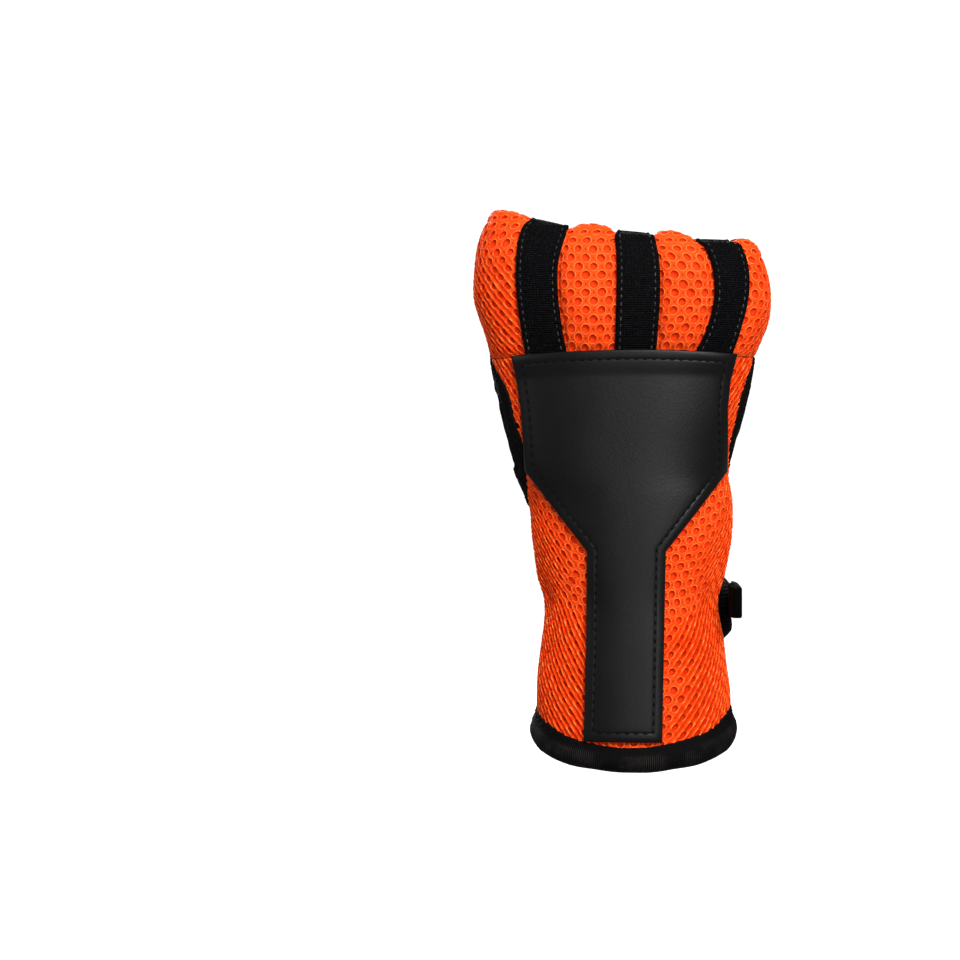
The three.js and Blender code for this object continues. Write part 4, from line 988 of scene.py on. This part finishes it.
for name, node, part in (
    ("palm_tape", "palm_binding", slice(0, first_cut + 1)),
    ("flap_tape", "flap_binding", slice(first_cut, second_cut + 1)),
    ("hem_tape", "wrist_hem", slice(second_cut, None)),
):
    tape = add_mesh(
        name,
        [binding_tape, sewing_thread],
        swept(tape_rings[part], at[part], past * 0.97 + 3.2 * (node == "wrist_hem")),
        *stitches(stitch_line[part], (over_line - stitch_line)[part], 1),
    )
    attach(tape, "root")
    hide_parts(node)

# The rims of the index and little finger holes are edged with a narrow tape folded over the pad,
# and so are the ends of the pad's two wraps, down to the palm band. The rim is taken as round with
# a radius in mm, and a degree at the wraps' ends counts as a length of cloth.
RIM_ROUND, END_DEGREE = 44, 0.66
for name, node, first, last, turn_from in (
    ("index_rim_tape", "index_edging", strap_edge(0, STRAP_TOP) + 2, PAD_START, 64),
    ("little_rim_tape", "little_edging", strap_edge(5, STRAP_TOP) - 2, PAD_END, 94),
):
    angles = np.linspace(first, last, 90)
    radius = pad_rim(angles)[:, None]
    start = pad_high(angles, RIM_Z + 0 * angles)[:, None] - radius
    turns = np.radians([*np.linspace(turn_from, 194, 15), 150, 110, turn_from + 6])
    past = np.array([0.1, *np.linspace(0.35, 0.85, 13), 0.05, -1, -1, -1])
    high = start + (radius + past) * np.sin(turns)
    high = high - 0.3 * (turns > np.pi)
    deep = radius + (radius + past) * np.cos(turns)
    rings = lay(angles[:, None], high, deep + soft_folds(angles[:, None], start))
    rim_long = np.radians(np.abs(angles - angles[0])) * RIM_ROUND
    levels = np.linspace(pad_low(last) + 1, start[-1, 0] + 1.4, 20)[:, None]
    end_turns = np.radians([*np.linspace(-14, 194, 15), 150, 90, 30])
    round_end = CLOTH / 2 + past
    outward = np.sign(last) * round_end * np.sin(end_turns) / END_DEGREE
    end_rings = lay(last + outward, levels, CLOTH / 2 + round_end * np.cos(end_turns))
    over = np.linspace(4, 8, len(past))
    runs = swept(rings, rim_long, over), swept(end_rings, levels[:, 0], over)
    rim_tape = add_mesh(name, [binding_tape], *runs)
    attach(rim_tape, "root")
    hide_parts(node)

# Three black elastic straps, about 16 mm wide, knitted with fine ribs across and a piped edge at
# each side. Each is sewn in under the patch, runs up the groove between two lobes, turns over the
# pad's top and goes down between two fingers to the palm band, where it is gathered. A row has its
# edges, its x between the fingers, its angle on the palm band and its least width.
STRAPS = (
    ("strap_index_middle", 0, 1, -28, -155, 6),
    ("strap_middle_ring", 2, 3, -2.4, -181, 6),
    ("strap_ring_little", 4, 5, 22.5, 149, 6.5),
)

# Thickness of the elastic, its gap to the cloth, and how far in from its edges its stitches lie
ELASTIC, GAP, SEWN_IN = 1.2, 0.3, 1.75
palm_edge = np.concatenate([LITTLE_WRAP_LOW, PALM_SPAN])

# Ribbed knitted elastic: fine ribs across, wales along, and specks of lighter yarn where they cross.
ribbed_elastic, tree, shader = new_material(
    "ribbed knitted elastic", Roughness=0.75, IOR=1.5, Specular_IOR_Level=0.04
)
along_band, over_band = cloth_places(tree)
rib, wale = ripple(tree, along_band, 0.8), ripple(tree, over_band, 1.1)
weave = add_node(tree, "Math", (wale, 0.35, rib), operation="MULTIPLY_ADD")
on_piece = add_node(tree, "TexCoord").outputs["Object"]
lint = add_node(tree, "TexNoise", {"Vector": on_piece, "Scale": 1500, "Detail": 3})
relief = add_node(tree, "Math", (lint, 2.4, weave), operation="MULTIPLY_ADD")
specks = add_node(tree, "Math", (lint, 7, weave), operation="MULTIPLY_ADD")
speck = add_node(tree, "MapRange", (specks, 3.9, 5.4))
dress(tree, shader, speck, "#020203", "#151517", relief)

# The thread along the straps' edges is grey, and shows in patches where it stands up.
edge_thread, tree, shader = new_material(
    "grey spun polyester thread", Roughness=0.5, Specular_IOR_Level=0.3
)
on_piece = add_node(tree, "TexCoord").outputs["Object"]
patches = add_node(tree, "TexNoise", {"Vector": on_piece, "Scale": 600, "Detail": 2})
edge_shade = add_node(tree, "MapRange", (patches, 0.44, 0.68))
dress(tree, shader, edge_shade, "#08080A", "#3E3E42")

for name, left, right, web_x, palm_angle, web_width in STRAPS:
    lean = 1.0 if left == 0 else 0.0
    corners = strap_edge(left, STRAP_TOP), strap_edge(right, STRAP_TOP)
    middle = (corners[0] + corners[1]) / 2
    top = along(PAD_TOP, middle)
    levels = np.linspace(148.4, top - 0.8, 16)
    on_pad = np.maximum(levels, PAD_BOTTOM)
    sides = strap_edge(left, on_pad), strap_edge(right, on_pad)
    middles = (sides[0] + sides[1]) / 2

    def at_height(angle):
        """Height over the hand of the elastic's middle: the groove's wall, and on it the gap and
        half the elastic, longer where the wall slopes."""
        slope = groove_wall(angle, levels - 0.5) - groove_wall(angle, levels + 0.5)
        return groove_wall(angle, levels) + (GAP + ELASTIC / 2) * np.hypot(1, slope)

    ends = [lay(side, levels, at_height(side)) for side in sides]
    climb = lay(middles, levels, at_height(middles))
    climb_width = np.linalg.norm(ends[1] - ends[0], axis=-1) - 1
    climb_across = unit(ends[1] - ends[0])
    palm_z = np.interp(palm_angle % 360, palm_edge["angle"], palm_edge["z"])
    palm = lay(palm_angle, palm_z, CLOTH / 2)
    rims = [lay(angle, along(PAD_TOP, angle), CLOTH) for angle in corners]
    sloped = unit(rims[1] - rims[0])
    rim = lay(middle, top, groove_wall(middle, top))
    inside = lay(middle, top, 0)
    across = np.array([1.0, 0, 0])

    # Points of its middle from the pad's top over the rim and down to the palm band, as x, y and z
    over = np.array(
        [
            (rim[0] + lean, rim[1] - 0.3, top - 0.1),
            (rim[0] + lean, rim[1] + 2, top + 0.9),
            (inside[0] * 0.8 + web_x * 0.2, inside[1] + 0.4, top + 0.4),
            (inside[0] * 0.4 + web_x * 0.6, inside[1] + 3.2, top - 2.6),
            (web_x, (inside[1] + palm[1]) / 2, (top + palm_z) / 2),
            (web_x * 0.4 + palm[0] * 0.6, palm[1] - 4, palm_z + 4.5),
            (palm[0], palm[1] - 0.6, palm_z + 0.9),
        ]
    )
    narrowing = np.array([0.88, 0.8, 0.76, 0.58, 0.42, 0.4, 0.4])
    over_width = np.maximum(web_width, climb_width[-1] * narrowing)
    centres = np.concatenate([climb, over])
    acrosses = np.concatenate([climb_across, [sloped] * 3, [across] * 4])
    widths = np.concatenate([climb_width, over_width])
    known = np.arange(len(centres), dtype=float)
    fine = np.linspace(0, known[-1], 130)
    path = read_line(fine, known, centres, cubic)
    path_across = unit(read_line(fine, known, acrosses))
    width = np.interp(fine, known, widths)
    ahead = unit(np.gradient(path, axis=0))
    normal = unit(np.cross(path_across, ahead))

    # Its section: from each edge in, a piped edge, the line of stitches and the flat middle
    half = width[:, None] / 2
    inset = np.array([0, 0.1, 0.5, 1.0, 1.45, 1.9, 2.6, 4.5])
    rise = np.array([0, 0.4, 0.62, 0.58, 0.4, 0.36, 0.42, 0.46])
    from_left = -half + inset * np.minimum(half / 8, 1)
    below = [-from_left[:, 1:3], from_left[:, 2:0:-1]]
    outline = np.concatenate([from_left, -from_left[:, ::-1], *below], axis=1)
    heights = np.concatenate([rise, rise[::-1], [-0.4, -0.5], [-0.5, -0.4]])
    rings = path[:, None] + path_across[:, None] * outline[..., None]
    band = swept(rings + normal[:, None] * heights[:, None], gone_along(path), outline[0])
    sewn = []
    on_back = fine < len(climb) + 0.5
    for side in (-1, 1):
        line = path + path_across * (side * (width / 2 - SEWN_IN))[:, None] + normal * 0.36
        sewn += stitches(line[on_back], normal[on_back], 1, 2.6, 1.6, 0.26)
    strap = add_mesh(name + "_elastic", [ribbed_elastic, edge_thread], band, *sewn)
    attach(strap, "root")
    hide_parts(name)

# The shield on the back of the hand is a leatherette patch over thin foam: a flat border, a line
# of stitches sunk in it and a field that stands a little higher inside. A smaller one, cut
# straight, is sewn on the flap.
BACK_PATCH = table(
    "z left right",
    (13.4, -18.3, 9.5), (48.9, -17.4, 10.2), (80.5, -17.1, 10.8), (109, -39.6, 33.2),
    (118, -40.1, 33.3), (132, -41.1, 33.1), (140, -42.3, 33.9), (150.4, -44.4, 36.4),
)

# How far in from the patch's edge, and how high, its face is. The stitches lie in the sunk line.
PATCH_PROFILE = (
    (0, 0), (0.03, 0.78), (0.38, 1.13), (2.7, 1.2), (2.95, 1.15), (3.15, 1.08), (3.35, 1.08),
    (3.55, 1.16), (3.85, 1.24), (4.4, 1.3), (6, 1.33),
)
PATCH_STITCHED, STITCH_DEPTH = 3.25, 1.02


def patch_parts(left, right, split_rows, columns, on_surface):
    """A patch inside an outline that has a left and a right side with rows at the same numbers. The
    outline is moved inward at even distances, with its corners mitred, and each such line gets
    the height of the profile. Gives the patch and its line of stitches."""
    corners = np.concatenate([left, right[::-1]])
    ahead = unit(np.roll(corners, -1, 0) - corners)
    turned = np.stack([-ahead[:, 1], ahead[:, 0]], -1)
    behind = np.roll(turned, 1, 0)
    mitre = (turned + behind) / (1 + (turned * behind).sum(-1, keepdims=True))
    x, z = corners.T
    mitre = mitre * np.sign((x * np.roll(z, -1) - np.roll(x, -1) * z).sum())
    rows = [np.linspace(i, i + 1, n, endpoint=False) for i, n in enumerate(split_rows)]
    rows = np.append(np.concatenate(rows), len(left) - 1)
    share = np.linspace(0, 1, columns + 1)[:, None]

    def inset(distance):
        """The outline's left and right side, moved inward by a distance and cut into rows."""
        moved = corners + mitre * distance
        sides = moved[: len(left)], moved[: len(left) - 1 : -1]
        return [read_line(rows, np.arange(len(left)), side) for side in sides]

    def loop(sides):
        """A closed line: the lower end, the right side, the upper end and the left side back."""
        low, high = (sides[0][end] + (sides[1][end] - sides[0][end]) * share for end in (0, -1))
        return np.concatenate([low, sides[1][1:], high[-2::-1], sides[0][-2:0:-1]])

    size = 2 * (len(rows) - 1) + 2 * columns
    points = [on_surface(loop(inset(distance)), height) for distance, height in PATCH_PROFILE]
    total = size * len(points)
    rings = np.arange(total).reshape(len(points), size)
    quads = [bands(rings[:-1], rings[1:])]
    for ring, (distance, height), way in (
        (rings[-1], PATCH_PROFILE[-1], 1),
        (rings[0], PATCH_PROFILE[0], -1),
    ):
        sides = inset(distance)
        grid = sides[0][:, None] + (sides[1] - sides[0])[:, None] * share
        ids = np.zeros(grid.shape[:2], int)
        ids[0] = ring[: columns + 1]
        ids[1:, -1] = ring[columns + 1 : columns + len(rows)]
        ids[-1, -2::-1] = ring[columns + len(rows) : 2 * columns + len(rows)]
        ids[-2:0:-1, 0] = ring[2 * columns + len(rows) :]
        inner = grid[1:-1, 1:-1].reshape(-1, 2)
        ids[1:-1, 1:-1] = (total + np.arange(len(inner))).reshape(ids[1:-1, 1:-1].shape)
        total += len(inner)
        points.append(on_surface(inner, height))
        faces = np.stack([ids[:-1, :-1], ids[:-1, 1:], ids[1:, 1:], ids[1:, :-1]], -1)
        quads.append(faces.reshape(-1, 4)[:, ::way])
    line = loop(inset(PATCH_STITCHED))
    line = np.concatenate([line, line[:1]])
    gone = gone_along(line)
    line = read_line(np.linspace(0, gone[-1], round(gone[-1] / 0.8) + 1), gone, line)
    sunk, over = on_surface(line, STITCH_DEPTH), on_surface(line, STITCH_DEPTH + 1)
    quads = np.concatenate(quads)
    patch = np.concatenate(points), [quads], [np.zeros((len(quads), 4, 2))], 0
    return [patch] + stitches(sunk, over - sunk, 1, thick=0.36)


# Satin black leatherette: a coated cloth with a fine embossed grain and a faintly uneven shine.
leatherette, tree, shader = new_material(
    "satin black leatherette", Roughness=0.37, IOR=1.5, Specular_IOR_Level=0.16
)
on_piece = add_node(tree, "TexCoord").outputs["Object"]
mottle = add_node(tree, "TexNoise", {"Vector": on_piece, "Scale": 45, "Detail": 4, "Roughness": 0.6})
shine = add_node(tree, "MapRange", (mottle, 0.3, 0.7, 0.34, 0.41))
tree.links.new(shine.outputs[0], shader.inputs["Roughness"])
grain = add_node(tree, "TexVoronoi", {"Vector": on_piece, "Scale": 1100})
dress(tree, shader, mottle, "#060607", "#0B0B0C", grain, strength=0.25, deep=0.1)


def on_back(places, height):
    """Where a point of the shield lies, from its x and z in the front view."""
    x, z = places.T
    z = z + 1.6 * (1 - (x / 42) ** 2) * smooth((z - 128) / 22)
    under = GAP + 0.7 + 0.75 * smooth((z - 142) / 7)
    angle = angle_at_x(x, z, under + height)
    return lay(angle, z, groove_wall(angle, z) + under + height)


left, right = (np.stack([BACK_PATCH[side], BACK_PATCH["z"]], -1) for side in ("left", "right"))
shield_parts = patch_parts(left, right, (18, 16, 20, 5, 7, 4, 6), 28, on_back)
shield = add_mesh("back_shield", [leatherette, sewing_thread], *shield_parts)
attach(shield, "root")
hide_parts("back_patch")

# The flap's patch: its size in mm, the angle where it starts and how far it goes round, and the
# height where its middle starts and how far it rises
FLAP_PATCH_LENGTH, FLAP_PATCH_HEIGHT = 57.0, 19.0
FLAP_PATCH_START, FLAP_PATCH_ROUND, FLAP_PATCH_Z, FLAP_PATCH_RISE = -132, 87, 50.5, 7.5


def on_flap(places, height):
    """Where a point of the flap's patch lies, from its place along it and its rise, in mm."""
    share = places[:, 0] / FLAP_PATCH_LENGTH
    angle = FLAP_PATCH_START - FLAP_PATCH_ROUND * share
    z = FLAP_PATCH_Z + FLAP_PATCH_RISE * share + places[:, 1]
    under = flap_lift(angle) + CLOTH + GAP + 0.1
    return lay(angle, z, under + 0.85 * height)


flap_left = np.array([(0, -FLAP_PATCH_HEIGHT / 2), (0, FLAP_PATCH_HEIGHT / 2)])
flap_right = flap_left + (FLAP_PATCH_LENGTH, 0)
flap_parts = patch_parts(flap_left, flap_right, (12,), 36, on_flap)
flap_badge = add_mesh("flap_panel", [leatherette, sewing_thread], *flap_parts)
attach(flap_badge, "root")
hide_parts("flap_patch")

# The pull tab is a loop of flat woven webbing, folded back on itself and sewn to the flap's end. Its
# line is given in x and y. It is 13 mm wide where it is sewn on and narrower at its fold.
TAB_LINE = np.array(
    [
        (35.6, 6.6), (36.7, 1), (37.1, -8), (37.3, -16.5), (37, -19.6), (35.9, -20.6),
        (34.8, -19.4), (34.5, -15), (34.4, -7), (34.4, 0),
    ]
)

# Height of its middle, its width where it is sewn on and at its fold, and half a row of stitches
TAB_MIDDLE, TAB_ROOT, TAB_FOLD, TAB_SEAM = 62.4, 13, 10.8, 5.6

# Flat woven webbing: dull black polyester yarns that cross over and under.
webbing, tree, shader = new_material(
    "flat woven webbing",
    Roughness=0.85,
    IOR=1.5,
    Base_Color=linear("#050506"),
    Specular_Tint=linear("#606060"),
    Specular_IOR_Level=0.05,
)
along_web, over_web = cloth_places(tree)
crossed = (ripple(tree, along_web, 0.9), ripple(tree, over_web, 1.3))
weave = add_node(tree, "Math", crossed, operation="MULTIPLY")
bump = add_node(tree, "Bump", {"Strength": 0.8, "Distance": 0.0002, "Height": weave})
tree.links.new(bump.outputs["Normal"], shader.inputs["Normal"])

known = np.arange(len(TAB_LINE), dtype=float)
fine = np.linspace(0, known[-1], 80)
line = read_line(fine, known, TAB_LINE, cubic)
ahead = unit(np.gradient(line, axis=0))
out = np.stack([-ahead[:, 1], ahead[:, 0]], axis=-1)
half = (TAB_ROOT + (TAB_FOLD - TAB_ROOT) * np.clip((6.6 - line[:, 1]) / 22, 0, 1)) / 2
edge = np.array([(0.35, -1), (0.6, -0.9), (0.6, -0.5), (0.6, 0), (0.6, 0.5), (0.6, 0.9), (0.35, 1)])
section = np.concatenate([edge, edge[::-1] * (-1, 1)])
flat = line[:, None] + out[:, None] * section[:, :1]
high = TAB_MIDDLE + half[:, None] * section[:, 1]
rings = np.concatenate([flat, high[..., None]], axis=-1)
sewn = []
for place in (8, 16):
    row = np.tile(rings[place, 3], (40, 1))
    row[:, 2] = np.linspace(TAB_MIDDLE - TAB_SEAM, TAB_MIDDLE + TAB_SEAM, 40)
    sewn += stitches(row, np.tile([*out[place], 0], (40, 1)), 1, 2.4, 1.6, 0.26)
folded = swept(rings, gone_along(line), section[:, 1] * 8)
tab = add_mesh("webbing_loop", [webbing, sewing_thread], folded, *sewn)
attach(tab, "root")
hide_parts("pull_tab")

# A plain pale floor that curves up into a wall all round. It glows faintly so that it reads as
# white, least below the glove, where a soft shadow lies. Only the camera sees it, so that it adds
# no light of its own. The glove is held up 43 mm over it, as on a forearm.
STAGE_DROP = 0.043
bend = np.radians(np.linspace(0, 90, 13))
reach = np.concatenate([[0.1, 0.4, 1.0, 2.0], 2.4 + 1.6 * np.sin(bend), [4.0]])
climb = np.concatenate([[0, 0, 0, 0], 1.6 * (1 - np.cos(bend)), [4.5]]) - STAGE_DROP
round_turn = np.radians(np.arange(0, 360, 7.5))[:, None]
stage_rings = np.stack([np.cos(round_turn) * reach, np.sin(round_turn) * reach], axis=-1)
stage_points = np.dstack([stage_rings, np.broadcast_to(climb, (len(round_turn), len(reach)))])
ids = np.arange(stage_points[..., 0].size).reshape(stage_points.shape[:2])
next_ids = np.roll(ids, -1, axis=0)
stage_quads = np.stack([ids[:, :-1], ids[:, 1:], next_ids[:, 1:], next_ids[:, :-1]], -1)
stage_faces = stage_quads.reshape(-1, 4).tolist() + [ids[:, 0].tolist()]
floor_mesh = bpy.data.meshes.new("floor")
floor_mesh.from_pydata(stage_points.reshape(-1, 3).tolist(), [], stage_faces)
floor_mesh.polygons.foreach_set("use_smooth", np.ones(len(stage_faces), bool))
floor_stage = bpy.data.objects.new("floor", floor_mesh)
bpy.context.scene.collection.objects.link(floor_stage)
floor_stage.visible_diffuse = False
floor_stage.visible_glossy = False
floor_stage.visible_shadow = False
floor_paint, tree, shader = new_material(
    "matt white floor",
    Roughness=0.9,
    Base_Color=linear("#A0A0A0"),
    Specular_IOR_Level=0,
    Emission_Color=(1, 1, 1, 1),
)
position = add_node(tree, "TexCoord").outputs["Object"]
away = add_node(tree, "VectorMath", (position,), operation="LENGTH")
glow = add_node(tree, "MapRange", (away, 0.15, 1.1, 0.66, 1))
tree.links.new(glow.outputs[0], shader.inputs["Emission Strength"])
floor_mesh.materials.append(floor_paint)
floor_stage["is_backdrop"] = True

# Soft studio light: a large box before the hand, high and a little to the right, another behind it,
# faint ones at the left, above and low in front, and a dim room.
LIT_PLACE = (0, 0, 0.11)
LAMPS = (
    ("key_light", (0.34, -0.85, 0.62), 0.5, 14),
    ("left_light", (-0.9, -0.5, 0.5), 0.6, 2.5),
    ("low_light", (0.16, -0.95, 0.0), 0.35, 1.4),
    ("back_light", (-0.3, 0.85, 0.62), 0.6, 14),
    ("top_light", (0.1, -0.25, 1.1), 0.6, 4),
)
for name, place, size, power in LAMPS:
    lamp = bpy.data.lights.new(name, "AREA")
    lamp.shape = "SQUARE"
    lamp.size = size
    lamp.energy = power
    holder = bpy.data.objects.new(name, lamp)
    holder.location = place
    aim = np.array(LIT_PLACE) - place
    away = math.hypot(aim[0], aim[1])
    holder.rotation_euler = (math.atan2(away, -aim[2]), 0, math.atan2(-aim[0], aim[1]))
    bpy.context.scene.collection.objects.link(holder)
room = bpy.data.worlds.new("dim room")
room.use_nodes = True
sky = room.node_tree.nodes["Background"]
sky.inputs["Color"].default_value = (1, 1, 1, 1)
sky.inputs["Strength"].default_value = 0.3
bpy.context.scene.world = room
bpy.context.scene.view_settings.view_transform = "Standard"

# The camera stands level before the back of the hand, 0.8 m away.
camera = bpy.data.objects.new("camera", bpy.data.cameras.new("camera"))
camera.data.lens = 82.5
camera.data.sensor_width = 36
camera.location = (-0.005, -0.803, 0.1059)
camera.rotation_euler = (math.pi / 2, 0, math.radians(3.67))
bpy.context.scene.collection.objects.link(camera)
bpy.context.scene.camera = camera

low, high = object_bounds()
